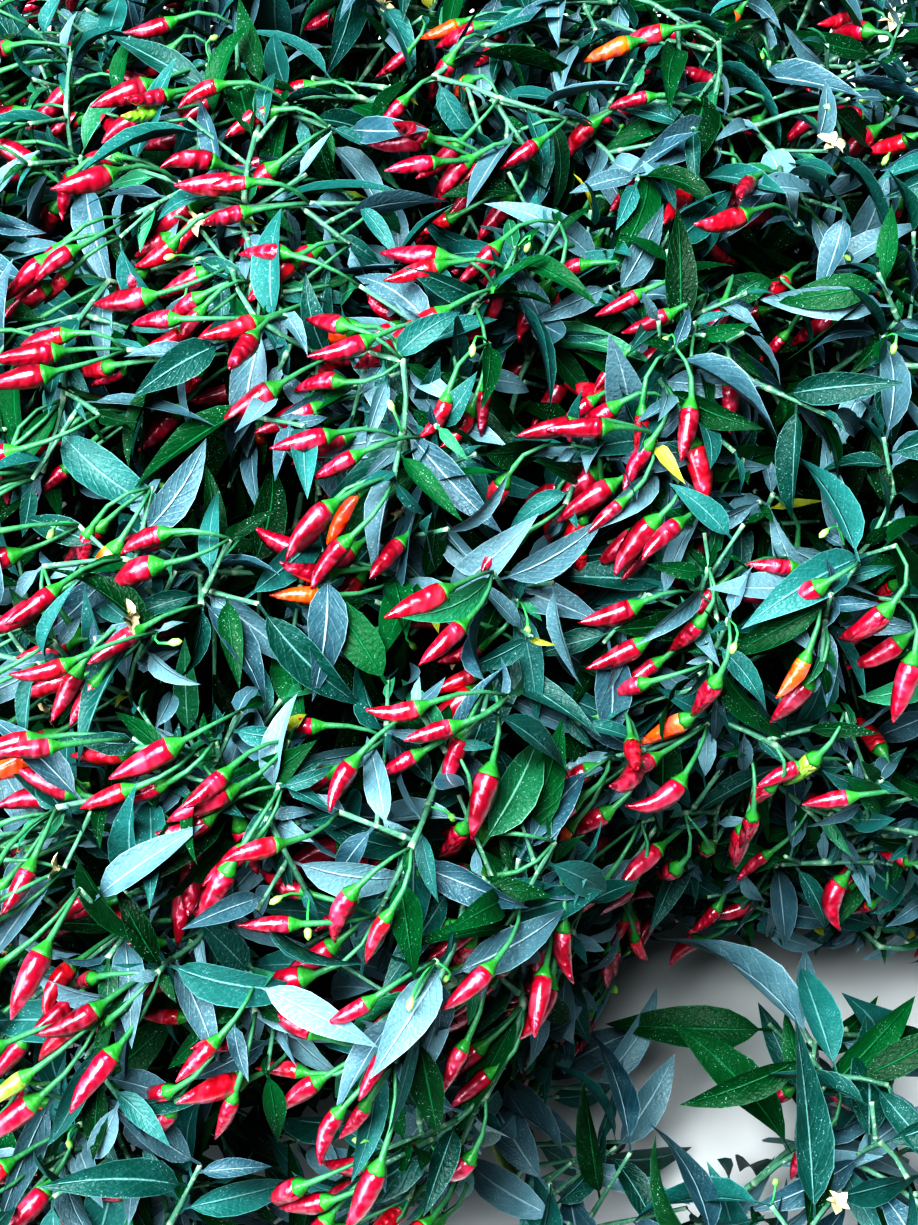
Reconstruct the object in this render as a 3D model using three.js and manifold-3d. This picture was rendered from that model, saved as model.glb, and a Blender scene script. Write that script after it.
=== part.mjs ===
// A chilli pepper bush rooted in the ground. A short trunk carries main boughs, side boughs grow from
// those, and each side bough ends in one mass of forking twigs with leaves and hanging fruits.
// Millimetres, +Z up. The trunk's flat cut lies on the ground at the origin, and -Y is the front.
// Bearings are degrees in plan, from +X towards +Y, so 270 is the front.

import * as THREE from "three";
import { mergeVertices } from "three/addons/utils/BufferGeometryUtils.js";
import Module from "manifold-3d";

const wasm = await Module();
wasm.setup();

// Driving sizes of the crown: a rounded dome whose plan swells and draws in towards some bearings.
const crown = { radius: 335, middle: 190, rise: 255, drop: 165, fullness: 2.6 };
const crownLobes = [
  { bearing: 60, swell: 100, sharpness: 3 },
  { bearing: 128, swell: 105, sharpness: 4 },
  { bearing: 185, swell: 40, sharpness: 4 },
  { bearing: 232, swell: 145, sharpness: 4 },
  { bearing: 295, swell: -125, sharpness: 9 },
  { bearing: 345, swell: 75, sharpness: 4 },
];

// The masses stand in rings. out is a share of the crown's plan radius, and start is how far along
// the way from the fork to its middle a mass begins.
const rings = [
  { name: "skirt", count: 8, turn: 12, out: 0.68, height: 140, start: 0.45 },
  { name: "shoulder", count: 5, turn: 38, out: 0.5, height: 265, start: 0.5 },
  { name: "top", count: 3, turn: 75, out: 0.18, height: 330, start: 0.6 },
];
const lowShoot = {
  size: 0.9,
  middle: new THREE.Vector3(145, -330, 125),
  start: new THREE.Vector3(55, -340, 88),
  bend: new THREE.Vector3(-20, -325, 42),
  reach: new THREE.Vector3(150, 95, 88),
};

// A limb leaves its parent at a share of the parent's length, and arch lifts the middle of its way.
const trunk = {
  height: 105,
  leanX: -6,
  leanY: -8,
  flareRadius: 17,
  footRadius: 10,
  tipRadius: 7,
  sides: 12,
};
const mainBough = {
  count: 6,
  turn: 20,
  out: 0.19,
  height: 145,
  lowest: 0.68,
  highest: 0.96,
  arch: -14,
  baseRadius: 5.4,
  tipRadius: 3.8,
  steps: 5,
};
const leader = { height: 205, share: 0.97, arch: 0, baseRadius: 5.2, tipRadius: 3.8, steps: 4 };
const sideBough = {
  shares: [0.97, 0.7, 0.5],
  topShares: [0.97, 0.72, 0.47],
  skirtArch: 4,
  baseRadius: 3.3,
  tipRadius: 2.5,
  steps: 4,
};
const lowBough = { share: 0.42, baseRadius: 5.4, tipRadius: 2.5, steps: 8 };
const bendShare = 0.45; // where along its way a limb's curve is drawn towards
const limbGap = 0.3; // clearance where one piece meets the next
const limbSides = 6;

// Twigs, one entry for each level of forking, and the larger than life leaves and fruits they carry.
const twig = {
  stem: 20, // from the bough's tip to the first twig
  length: [42, 44, 40, 34],
  radius: [2.2, 1.9, 1.6, 1.3, 1],
  spread: [38, 40, 38],
  leaves: [0, 2, 2, 2],
  fruitChance: [0, 0.8, 0.5, 0],
  sides: 3,
  heel: 4, // the pointed start of a side twig, inside its parent
  stagger: 5, // a side twig leaves its parent this far before the parent's end
  shortest: 0.85,
  wander: 0.3, // lengths run from the shortest share of the level's own to this much more
  turnWander: 0.4,
  steers: 4,
  steer: 0.35, // how far each try turns a twig that has no room towards its mass's middle
};
const leaf = {
  length: 92,
  width: 36,
  thickness: 1.8,
  widest: 0.42,
  fold: 4,
  droop: 12,
  lean: 0.5, // how far the blades tip outwards from level
  shrink: 0.08,
  opening: [40, 70], // degrees between a leaf and its twig
  turn: 2.4,
  retryTurn: 1.46,
  furthest: 0.92,
  spacing: 0.6, // the leaves stand on this share of the twig, up to the furthest one
};
const fruit = {
  stalk: 38,
  body: 42,
  stalkRadius: 1.3,
  bodyRadius: 6.4,
  sides: 5,
  outward: 0.4,
  wander: 0.5,
  stalkBend: 0.8, // the share of the stalk before its bend
  drop: 1.25, // the length from the bend to the fruit's tip, in bodies
  retryTurn: 1.26,
};
const tries = 6;
const twigClearance = 1.5;
const leafClearance = 2;
const obstacleSpacing = 5;
const fuseTolerance = 0.05;
const seed = 777; // another number grows another plant by the same rule
const hang = new THREE.Vector3(-0.5, -0.2, -0.55); // the way the fruits tend to point

const up = new THREE.Vector3(0, 0, 1);
const radians = THREE.MathUtils.degToRad;

// Returns a run of repeatable numbers from 0 to 1 for one twig, named by its mass and fork path.
function chances(mass, path) {
  const modulus = 4294967296;
  let state = (mass * 7919 + path * 104729 + seed) % modulus;
  const next = () => {
    state = (state * 1664525 + 1013904223) % modulus;
    return state / modulus;
  };
  next();
  next();
  return next;
}

function atBearing(bearing, distance, height) {
  const angle = radians(bearing);
  return new THREE.Vector3(distance * Math.cos(angle), distance * Math.sin(angle), height);
}

// The crown's plan radius towards a bearing.
function planRadius(bearing) {
  return crownLobes.reduce(
    (radius, lobe) =>
      radius + lobe.swell * Math.max(0, Math.cos(radians(bearing - lobe.bearing))) ** lobe.sharpness,
    crown.radius,
  );
}

// Under 1 inside the crown's dome, and 1 on its surface.
function crownFill(point) {
  const bearing = THREE.MathUtils.radToDeg(Math.atan2(point.y, point.x));
  const sideways = Math.hypot(point.x, point.y) / planRadius(bearing);
  const above = point.z - crown.middle;
  const upward = Math.abs(above) / (above > 0 ? crown.rise : crown.drop);
  return sideways ** crown.fullness + upward ** crown.fullness;
}

// Under 1 inside the low shoot's own space, an ellipsoid.
function lowShootFill(point) {
  return point.clone().sub(lowShoot.middle).divide(lowShoot.reach).lengthSq();
}

// A closed round tube: a lathed profile of [radius, share of the way along], bent along a curve.
function tube(curve, profile, sides) {
  const lathe = new THREE.LatheGeometry(
    profile.map(([radius, share]) => new THREE.Vector2(radius, share)),
    sides,
  );
  const chord = curve.getPoint(1).sub(curve.getPoint(0)).normalize();
  const reference = Math.abs(chord.z) < 0.8 ? up : new THREE.Vector3(1, 0, 0);
  const place = lathe.attributes.position;
  const local = new THREE.Vector3();
  for (let i = 0; i < place.count; i++) {
    local.fromBufferAttribute(place, i);
    const along = curve.getTangent(THREE.MathUtils.clamp(local.y, 0, 1));
    const side = new THREE.Vector3().crossVectors(along, reference).normalize();
    const over = new THREE.Vector3().crossVectors(side, along);
    const point = curve.getPoint(local.y).addScaledVector(side, local.x).addScaledVector(over, local.z);
    place.setXYZ(i, point.x, point.y, point.z);
  }
  return lathe;
}

// A profile that tapers evenly from one radius to the other, closed at both ends.
function taper(base, tip, steps, past = 0) {
  const rings = Array.from({ length: steps + 1 }, (_, i) => [
    THREE.MathUtils.lerp(base, tip, i / steps),
    THREE.MathUtils.lerp(-past, 1 + past, i / steps),
  ]);
  return [[0, -past], ...rings, [0, 1 + past]];
}

function manifoldOf(geometry) {
  const bare = new THREE.BufferGeometry().setAttribute("position", geometry.attributes.position);
  if (geometry.index) bare.setIndex(geometry.index);
  const merged = mergeVertices(bare, 1e-4);
  return new wasm.Manifold(
    new wasm.Mesh({
      numProp: 3,
      vertProperties: merged.attributes.position.array,
      triVerts: new Uint32Array(merged.index.array),
    }),
  );
}

// The largest closed body of a solid, which drops loose scraps and fills sealed hollows.
function largestBody(solid) {
  return solid.decompose().reduce((best, body) => (body.volume() > best.volume() ? body : best));
}

function meshOf(name, solid, material) {
  const { vertProperties, triVerts } = solid.getMesh();
  const geometry = new THREE.BufferGeometry();
  geometry.setAttribute("position", new THREE.BufferAttribute(vertProperties, 3));
  geometry.setIndex(new THREE.BufferAttribute(triVerts, 1));
  geometry.computeVertexNormals();
  const mesh = new THREE.Mesh(geometry, material);
  mesh.name = name;
  return mesh;
}

// A limb is one tapering tube along a curve. grow makes it fatter and longer all round.
function limbSolid(limb, grow = 0) {
  const past = grow / limb.curve.getLength();
  const profile = limb.profile
    ? limb.profile.map(([radius, share]) => [
        radius === 0 ? 0 : radius + grow,
        share === 0 || share === 1 ? share + (share - 0.5) * 2 * past : share,
      ])
    : taper(limb.base + grow, limb.tip + grow, limb.steps, past);
  return manifoldOf(tube(limb.curve, profile, limb.sides));
}

const forkPoint = new THREE.Vector3(trunk.leanX, trunk.leanY, trunk.height);

// The trunk's radius at shares of its height: a root flare that narrows to the foot, then the taper.
const trunkProfile = [
  [0, 0],
  [trunk.flareRadius, 0],
  [THREE.MathUtils.lerp(trunk.flareRadius, trunk.footRadius, 0.7), 0.08],
  [trunk.footRadius, 0.22],
  [THREE.MathUtils.lerp(trunk.footRadius, trunk.tipRadius, 0.5), 0.6],
  [trunk.tipRadius, 1],
  [0, 1],
];

function trunkLimb() {
  return {
    name: "trunk",
    curve: new THREE.QuadraticBezierCurve3(
      new THREE.Vector3(),
      new THREE.Vector3(0, 0, trunk.height / 2),
      forkPoint,
    ),
    profile: trunkProfile,
    sides: trunk.sides,
  };
}

// A limb that leaves its parent part of the way along and arches up before it heads for its end.
function archingLimb(name, parent, share, end, arch, size) {
  const start = parent.curve.getPoint(share);
  const bend = start.clone().lerp(end, bendShare).addScaledVector(up, arch);
  return {
    name,
    curve: new THREE.QuadraticBezierCurve3(start, bend, end),
    base: size.baseRadius,
    tip: size.tipRadius,
    sides: limbSides,
    steps: size.steps,
  };
}

// The main boughs leave the trunk at staggered heights, and the leader goes on from its tip.
function mainBoughs(trunkPart) {
  const around = Array.from({ length: mainBough.count }, (_, i) => {
    const bearing = mainBough.turn + (i * 360) / mainBough.count;
    const end = atBearing(bearing, mainBough.out * planRadius(bearing), mainBough.height);
    const place = ((i * 2) % mainBough.count) / mainBough.count;
    const share = THREE.MathUtils.lerp(mainBough.lowest, mainBough.highest, place);
    const name = `bough_main_${i + 1}`;
    return { ...archingLimb(name, trunkPart, share, end, mainBough.arch, mainBough), bearing };
  });
  const top = new THREE.Vector3(0, 0, leader.height);
  const middle = archingLimb("bough_leader", trunkPart, leader.share, top, leader.arch, leader);
  return [...around, { ...middle, bearing: null }];
}

function turnBetween(a, b) {
  return Math.abs(((a - b + 540) % 360) - 180);
}

// The middle, start and name of every mass, ring by ring.
function layOutMasses() {
  const masses = rings.flatMap((ring) =>
    Array.from({ length: ring.count }, (_, i) => {
      const bearing = ring.turn + (i * 360) / ring.count;
      const middle = atBearing(bearing, ring.out * planRadius(bearing), ring.height);
      return {
        name: `foliage_${ring.name}_${i + 1}`,
        ring: ring.name,
        bearing,
        middle,
        start: forkPoint.clone().lerp(middle, ring.start),
        size: planRadius(bearing) / crown.radius,
        fill: crownFill,
      };
    }),
  );
  masses.push({ name: "foliage_low_shoot", ring: "low", ...lowShoot, fill: lowShootFill });
  masses.forEach((mass, number) => Object.assign(mass, { number }));
  return masses;
}

// The main bough that points most nearly at a mass, or the leader under the masses at the top.
function carrierOf(mass, mains) {
  if (mass.ring === "top") return mains.find((one) => one.bearing === null);
  const around = mains.filter((one) => one.bearing !== null);
  const turn = (one) => turnBetween(one.bearing, mass.bearing);
  return around.reduce((best, one) => (turn(one) < turn(best) ? one : best));
}

// Each mass hangs on a side bough, and the highest mass is the one nearest to its main bough's tip.
function sideBoughs(masses, mains, trunkPart) {
  const carried = new Map(mains.map((main) => [main, 0]));
  const byHeight = masses.filter((mass) => mass.ring !== "low").sort((a, b) => b.start.z - a.start.z);
  const made = byHeight.map((mass) => {
    const main = carrierOf(mass, mains);
    const place = carried.get(main);
    carried.set(main, place + 1);
    const share = (mass.ring === "top" ? sideBough.topShares : sideBough.shares)[place];
    const arch = mass.ring === "skirt" ? sideBough.skirtArch : 0;
    const name = mass.name.replace("foliage", "bough");
    return [mass, archingLimb(name, main, share, mass.start, arch, sideBough)];
  });
  const low = masses.find((mass) => mass.ring === "low");
  const shoot = archingLimb("bough_low_shoot", trunkPart, lowBough.share, low.start, 0, lowBough);
  shoot.curve.v1.copy(lowShoot.bend);
  return [...made, [low, shoot]];
}

// Whether a point stays in a mass's own space: inside the crown, and short of the halfway planes.
function fits(mass, masses, point, margin) {
  if (mass.fill(point) > 1 || point.z < crown.middle - crown.drop + margin) return false;
  return masses.every((other) => {
    if (other === mass) return true;
    const towards = other.middle.clone().sub(mass.middle);
    const halfway = towards.length() / 2;
    return point.clone().sub(mass.middle).dot(towards.normalize()) < halfway - limbGap - margin;
  });
}

// Points along every limb with the limb's radius there, for keeping twigs and leaves clear of them.
function limbPoints(limbs) {
  return limbs.flatMap((limb) => {
    const count = Math.ceil(limb.curve.getLength() / obstacleSpacing);
    return limb.curve.getPoints(count).map((point, i) => ({
      point,
      radius: limb.profile ? trunk.footRadius : THREE.MathUtils.lerp(limb.base, limb.tip, i / count),
    }));
  });
}

function clearOfLimbs(points, from, to, radius) {
  const line = new THREE.Line3(from, to);
  const nearest = new THREE.Vector3();
  return points.every((one) => {
    const distance = line.closestPointToPoint(one.point, true, nearest).distanceTo(one.point);
    return distance > one.radius + radius + twigClearance;
  });
}

// Any unit vector across a direction, turned round it by an angle.
function acrossAt(direction, angle) {
  const level = new THREE.Vector3().crossVectors(direction, up);
  if (level.length() < 0.1) level.set(1, 0, 0);
  return level.normalize().applyAxisAngle(direction, angle);
}

// A direction opened away from an axis by an angle, towards one side of it.
function opened(axis, sideways, angle) {
  const along = axis.clone().multiplyScalar(Math.cos(angle));
  return along.addScaledVector(sideways, Math.sin(angle)).normalize();
}

// The frame of a leaf: along its rib, across its blade, and out of its upper face.
function leafFrame(root, along) {
  const lean = root.clone().setZ(0).normalize().multiplyScalar(leaf.lean).add(up);
  const across = new THREE.Vector3().crossVectors(lean, along).normalize();
  return { root, along, across, out: new THREE.Vector3().crossVectors(along, across) };
}

// A leaf of eight faces: an octahedron with its ends at heel and tip, folded along its rib.
function leafGeometry(frame, size) {
  const shape = new THREE.OctahedronGeometry(1);
  const place = shape.attributes.position;
  const v = new THREE.Vector3();
  for (let i = 0; i < place.count; i++) {
    v.fromBufferAttribute(place, i).round();
    const share = leaf.widest * (1 - Math.abs(v.x)) + Math.max(0, v.x);
    const rise = leaf.fold * Math.abs(v.y) - leaf.droop * Math.max(0, v.x) + (leaf.thickness / 2) * v.z;
    const point = frame.root
      .clone()
      .addScaledVector(frame.along, size * share)
      .addScaledVector(frame.across, (leaf.width / leaf.length) * (size / 2) * v.y)
      .addScaledVector(frame.out, rise);
    place.setXYZ(i, point.x, point.y, point.z);
  }
  return shape;
}

// Whether a leaf stays inside its mass's space and clear of the limbs.
function leafFits(frame, size, room, obstacles) {
  const middle = frame.root.clone().addScaledVector(frame.along, size / 2);
  const clear = obstacles.every(({ point, radius }) => {
    const away = point.clone().sub(middle);
    const margin = radius + leafClearance;
    return (
      Math.abs(away.dot(frame.along)) > size / 2 + margin ||
      Math.abs(away.dot(frame.across)) > leaf.width / 2 + margin ||
      Math.abs(away.dot(frame.out)) > leaf.droop + margin
    );
  });
  if (!clear) return false;
  const place = leafGeometry(frame, size).attributes.position;
  const corner = new THREE.Vector3();
  return Array.from({ length: place.count }, (_, i) => i).every((i) =>
    room(corner.fromBufferAttribute(place, i), 0),
  );
}

// A fruit on its stalk: one lathed body bent from the twig's way out to the way it hangs.
function fruitCurve(from, outward, hanging) {
  const bend = from.clone().addScaledVector(outward, fruit.stalk * fruit.stalkBend);
  const end = bend.clone().addScaledVector(hanging, fruit.body * fruit.drop);
  return new THREE.QuadraticBezierCurve3(from, bend, end);
}

const fruitProfile = [
  [0, 0],
  [fruit.stalkRadius, 0.06],
  [fruit.stalkRadius, 0.46],
  [fruit.bodyRadius, 0.53],
  [fruit.bodyRadius * 0.72, 0.8],
  [0, 1],
];

// The wood of a mass as runs of twigs. Every twig forks in two, the first of the two goes on in its
// parent's run and the second starts a run of its own. The forks turn a quarter from level to level,
// and a twig that would leave the mass's space is steered towards its middle, or left out.
function growTwigs(mass, bough, room, clear) {
  const runs = [];
  const twigs = [];
  const extend = (run, heading, level, path) => {
    const from = run.points.at(-1);
    const chance = chances(mass.number, path);
    const length = mass.size * twig.length[level] * (twig.shortest + twig.wander * chance());
    const turn = chance() * Math.PI;
    const direction = heading.clone();
    const inward = mass.middle.clone().sub(from).normalize();
    const end = new THREE.Vector3();
    for (let turns = 0; turns < twig.steers; turns++) {
      end.copy(from).addScaledVector(direction, length);
      if (room(end, twig.radius[level])) break;
      direction.lerp(inward, twig.steer).normalize();
    }
    if (!room(end, twig.radius[level]) || !clear(from, end, twig.radius[level])) return;
    if (run.points.length === 1) {
      run.points.push(from.clone().addScaledVector(direction, twig.heel));
      run.radii.push(twig.radius[level]);
      runs.push(run);
    }
    run.points.push(end);
    run.radii.push(twig.radius[level + 1]);
    twigs.push({ run, from, end, direction, level, turn, chance });
    if (level + 1 === twig.length.length) return;
    for (const side of [0, 1]) {
      const quarters = (level % 2) + 2 * side;
      const angle = quarters * (Math.PI / 2) + (turn - Math.PI / 2) * twig.turnWander;
      const next = opened(direction, acrossAt(direction, angle), radians(twig.spread[level]));
      const fork = end.clone().addScaledVector(direction, -twig.stagger);
      const nextRun = side === 0 ? run : { points: [fork], radii: [0] };
      extend(nextRun, next, level + 1, path * 2 + side);
    }
  };
  const tangent = bough.curve.getTangent(1);
  const root = bough.curve.getPoint(1).addScaledVector(tangent, limbGap);
  const stem = {
    points: [root, root.clone().addScaledVector(tangent, twig.stem)],
    radii: [sideBough.tipRadius, twig.radius[0]],
  };
  runs.push(stem);
  const outward = mass.middle.clone().sub(root).normalize();
  extend(stem, tangent.clone().lerp(outward, 0.5).normalize(), 0, 1);
  return { runs, twigs };
}

function runSolid({ points, radii }) {
  const last = points.length - 1;
  const profile = [...radii.map((radius, i) => [radius, i / last]), [0, 1]];
  if (radii[0] > 0) profile.unshift([0, 0]);
  return manifoldOf(tube(new THREE.CatmullRomCurve3(points), profile, twig.sides));
}

// Grows one mass from its bough's tip, and fuses its twigs with their leaves and fruits. A leaf or
// fruit that would cross another, or leave the space, is tried again smaller and turned.
function growMass(mass, masses, bough, obstacles) {
  const room = (point, margin) => fits(mass, masses, point, margin);
  const clear = (from, end, radius) => clearOfLimbs(obstacles, from, end, radius);
  const { runs, twigs } = growTwigs(mass, bough, room, clear);
  const wood = new Map(runs.map((run) => [run, runSolid(run)]));
  const grown = [];

  const addFirst = (own, shapeOf) => {
    for (let attempt = 0; attempt < tries; attempt++) {
      const solid = shapeOf(attempt);
      if (!solid) continue;
      const others = [...grown, ...runs.filter((run) => run !== own).map((run) => wood.get(run))];
      if (others.every((other) => other.intersect(solid).isEmpty())) {
        grown.push(solid);
        return;
      }
    }
  };

  const addLeaf = ({ run, direction, turn, chance }, place, number) =>
    addFirst(run, (attempt) => {
      const size = leaf.length * (1 - leaf.shrink * attempt);
      const sideways = acrossAt(direction, turn + number * leaf.turn + attempt * leaf.retryTurn);
      const opening = THREE.MathUtils.lerp(...leaf.opening, chance());
      const frame = leafFrame(place, opened(direction, sideways, radians(opening)));
      return leafFits(frame, size, room, obstacles) ? manifoldOf(leafGeometry(frame, size)) : null;
    });

  const addFruit = ({ run, direction, turn, chance }, place) =>
    addFirst(run, (attempt) => {
      const wander = new THREE.Vector3(chance() - 0.5, chance() - 0.5, chance() - 0.5);
      const outward = place.clone().setZ(0).normalize();
      const hanging = hang.clone().addScaledVector(outward, fruit.outward);
      hanging.addScaledVector(wander, fruit.wander).normalize();
      const sideways = acrossAt(direction, turn + attempt * fruit.retryTurn);
      const curve = fruitCurve(place, sideways, hanging);
      const points = [0.5, 0.75, 1].map((share) => curve.getPoint(share));
      const fitting = points.every((point) => room(point, fruit.bodyRadius));
      if (!fitting || !clear(points[0], points[2], fruit.bodyRadius)) return null;
      return manifoldOf(tube(curve, fruitProfile, fruit.sides));
    });

  for (const one of twigs) {
    if (one.chance() < twig.fruitChance[one.level]) addFruit(one, one.from.clone().lerp(one.end, 0.5));
  }
  for (const one of twigs) {
    const count = twig.leaves[one.level];
    for (let i = 0; i < count; i++) {
      addLeaf(one, one.from.clone().lerp(one.end, leaf.furthest - (leaf.spacing * i) / count), i);
    }
  }
  return largestBody(wasm.Manifold.union([...wood.values(), ...grown]).simplify(fuseTolerance));
}

const bark = new THREE.MeshStandardMaterial({ color: 0x6f7f45, roughness: 0.75 });
const greenStem = new THREE.MeshStandardMaterial({ color: 0x5f9a4a, roughness: 0.6 });
const foliage = new THREE.MeshStandardMaterial({ color: 0x2f5f4d, roughness: 0.5 });

// Builds the limbs from the trunk up, each one cut 0.3 mm clear of those before it, then the masses.
function buildPlant() {
  const plant = new THREE.Group();
  const trunkPart = trunkLimb();
  const mains = mainBoughs(trunkPart);
  const masses = layOutMasses();
  const carriers = sideBoughs(masses, mains, trunkPart);
  const limbs = [trunkPart, ...mains, ...carriers.map(([, bough]) => bough)];
  limbs.forEach((limb, i) => {
    const before = limbs.slice(0, i).map((other) => limbSolid(other, limbGap));
    const cut = before.reduce((solid, other) => solid.subtract(other), limbSolid(limb));
    plant.add(meshOf(limb.name, largestBody(cut), i === 0 ? bark : greenStem));
  });
  const obstacles = limbPoints(limbs);
  for (const [mass, bough] of carriers) {
    plant.add(meshOf(mass.name, growMass(mass, masses, bough, obstacles), foliage));
  }
  return plant;
}

export default buildPlant();
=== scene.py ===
# Chilli pepper bush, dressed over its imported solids. Sizes are millimetres until a mesh is made.
# -Y is the front, and bearings are degrees in plan from +X towards +Y, as in the solids.
import math

import bpy
import numpy as np
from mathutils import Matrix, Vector


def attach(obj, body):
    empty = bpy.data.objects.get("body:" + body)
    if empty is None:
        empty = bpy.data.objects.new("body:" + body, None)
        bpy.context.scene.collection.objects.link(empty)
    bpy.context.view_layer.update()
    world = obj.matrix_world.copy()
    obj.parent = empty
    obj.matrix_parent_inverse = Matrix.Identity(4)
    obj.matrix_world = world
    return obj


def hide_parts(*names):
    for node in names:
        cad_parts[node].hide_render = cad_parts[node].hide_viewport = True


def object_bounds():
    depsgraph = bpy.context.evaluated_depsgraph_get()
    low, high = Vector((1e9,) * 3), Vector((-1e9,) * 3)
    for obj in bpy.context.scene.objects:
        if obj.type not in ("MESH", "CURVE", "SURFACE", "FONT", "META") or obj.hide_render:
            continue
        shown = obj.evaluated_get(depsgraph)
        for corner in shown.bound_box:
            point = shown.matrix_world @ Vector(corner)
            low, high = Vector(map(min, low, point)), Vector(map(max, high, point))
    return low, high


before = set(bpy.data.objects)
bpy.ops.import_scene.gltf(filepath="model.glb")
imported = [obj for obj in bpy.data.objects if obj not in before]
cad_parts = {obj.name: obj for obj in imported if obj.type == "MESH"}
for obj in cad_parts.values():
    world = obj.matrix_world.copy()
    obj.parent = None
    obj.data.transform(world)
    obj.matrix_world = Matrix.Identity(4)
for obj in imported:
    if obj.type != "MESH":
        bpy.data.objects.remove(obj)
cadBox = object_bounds()
metre = 0.001
fullTurn = 2 * math.pi
upward = np.array([0.0, 0.0, 1.0])
eastward = np.array([1.0, 0.0, 0.0])
inPlan = np.array([1, 1, 0])  # times a point, it takes the height away


def unit(v):
    # a vector, or rows of vectors, scaled to length one
    return v / np.maximum(np.linalg.norm(v, axis=-1, keepdims=True), 1e-9)


def atBearing(bearing, distance, height):
    # the point at a bearing and distance from the trunk, at a height
    a = math.radians(bearing)
    return np.array([distance * math.cos(a), distance * math.sin(a), height])


def column(values):
    # values as a column, so that they scale rows of vectors
    return np.asarray(values, float)[..., None]


def acrossAt(direction, angle):
    # unit vectors square to directions: level ones, turned about the direction by an angle
    level = np.cross(direction, upward)
    steep = np.linalg.norm(level, axis=-1, keepdims=True) < 0.1
    level = unit(np.where(steep, eastward, level))
    return level * np.cos(column(angle)) + np.cross(direction, level) * np.sin(column(angle))


def opened(axis, sideways, angle):
    # axis cos a + sideways sin a: directions that lean away from an axis
    return unit(axis * np.cos(column(angle)) + sideways * np.sin(column(angle)))


def bezier(a, b, c, t):
    # a quadratic curve: (1-t)^2 a + 2t(1-t) b + t^2 c
    t = column(t)
    return (1 - t) ** 2 * a + 2 * t * (1 - t) * b + t ** 2 * c


def lengthOf(curve):
    # the lengths of a curve's 200 short chords, added up
    return np.linalg.norm(np.diff(bezier(*curve, np.linspace(0, 1, 201)), axis=0), axis=1).sum()


# The camera looks down on the front of the bush, as in the photograph. Its target and distance are metres.
view = {
    "elevation": 61, "target": (-0.006, -0.17, 0.415), "distance": 0.665,
    "tallAngle": 38.6,  # degrees from the bottom to the top of the frame
    "filmSide": 36, "nearest": 0.01,
}


def placeCamera():
    camera = bpy.data.cameras.new("camera")
    camera.sensor_width = view["filmSide"]
    camera.lens = view["filmSide"] / 2 / math.tan(math.radians(view["tallAngle"] / 2))
    camera.clip_start = view["nearest"]
    holder = bpy.data.objects.new("camera", camera)
    rise = math.radians(view["elevation"])
    target = Vector(view["target"])
    holder.location = target + Vector((0, -math.cos(rise), math.sin(rise))) * view["distance"]
    holder.rotation_euler = (target - holder.location).to_track_quat("-Z", "Y").to_euler()
    bpy.context.scene.collection.objects.link(holder)
    bpy.context.scene.camera = holder
    print("camera placed at", tuple(round(x, 3) for x in holder.location))


placeCamera()

# The crown: a rounded dome whose plan swells and draws in towards some bearings, and rings of masses in it.
crown = {
    "radius": 335, "middle": 190, "rise": 255, "drop": 165, "fullness": 2.6, "seed": 777,
    "gap": 0.3,  # mm that stay clear between neighbours
    # for each lobe its bearing, swell and power
    "lobes": [(60, 100, 3), (128, 105, 4), (185, 40, 4), (232, 145, 4), (295, -125, 9), (345, 75, 4)],
    # for each ring its number of masses, first bearing, share of the plan radius, height, and how far out
    # from the fork to the middle of a mass its bough ends
    "rings": [
        ("skirt", 8, 12, 0.68, 140, 0.45),
        ("shoulder", 5, 38, 0.5, 265, 0.5),
        ("top", 3, 75, 0.18, 330, 0.6),
    ],
}
lowShoot = {
    "size": 0.9, "share": 0.42,
    "middle": np.array([145.0, -330, 125]),
    "start": np.array([55.0, -340, 88]),
    "bend": np.array([-20.0, -325, 42]),
    "reach": np.array([150.0, 95, 88]),
    "leafy": [(45, -345, 140), (75, -315, 150), (100, -340, 150)],
}
trunk = {"height": 105, "lean": (-6, -8), "flare": 17, "foot": 10, "tip": 7}
mainBough = {"count": 6, "turn": 20, "out": 0.19, "height": 145, "shares": (0.68, 0.96), "arch": -14}
leader = {"height": 205, "share": 0.97}
sideBough = {"around": (0.97, 0.7, 0.5), "top": (0.97, 0.72, 0.47), "skirtArch": 4}
limbRadii = {"main": (5.4, 3.8), "leader": (5.2, 3.8), "side": (3.3, 2.5), "low": (5.4, 2.5)}
limbBend = 0.45


def planRadius(bearing):
    # the base radius, plus each lobe's swell times a power of the cosine of the turn to it
    turns = ((swell, np.cos(np.radians(bearing - at)), power) for at, swell, power in crown["lobes"])
    return crown["radius"] + sum(swell * np.maximum(0, cosine) ** power for swell, cosine, power in turns)


def crownFill(p):
    # (distance from the axis / plan radius)^f + (height from the middle / rise or drop)^f, 1 on the dome
    p = np.asarray(p, float)
    sideways = np.hypot(p[..., 0], p[..., 1]) / planRadius(np.degrees(np.arctan2(p[..., 1], p[..., 0])))
    above = p[..., 2] - crown["middle"]
    height = np.abs(above) / np.where(above > 0, crown["rise"], crown["drop"])
    return sideways ** crown["fullness"] + height ** crown["fullness"]


def lowShootFill(p):
    # the squared distance from the middle in shares of the reach, 1 on the ellipsoid
    return np.sum(((np.asarray(p, float) - lowShoot["middle"]) / lowShoot["reach"]) ** 2, axis=-1)


def limbOf(name, parent, share, end, arch, radii):
    # a limb is a curve from a share of its parent's curve, over a lifted bend, to its end
    start = bezier(*parent["curve"], share)
    bend = start * (1 - limbBend) + end * limbBend + upward * arch
    return {"name": name, "curve": (start, bend, end), "radii": radii}


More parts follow.
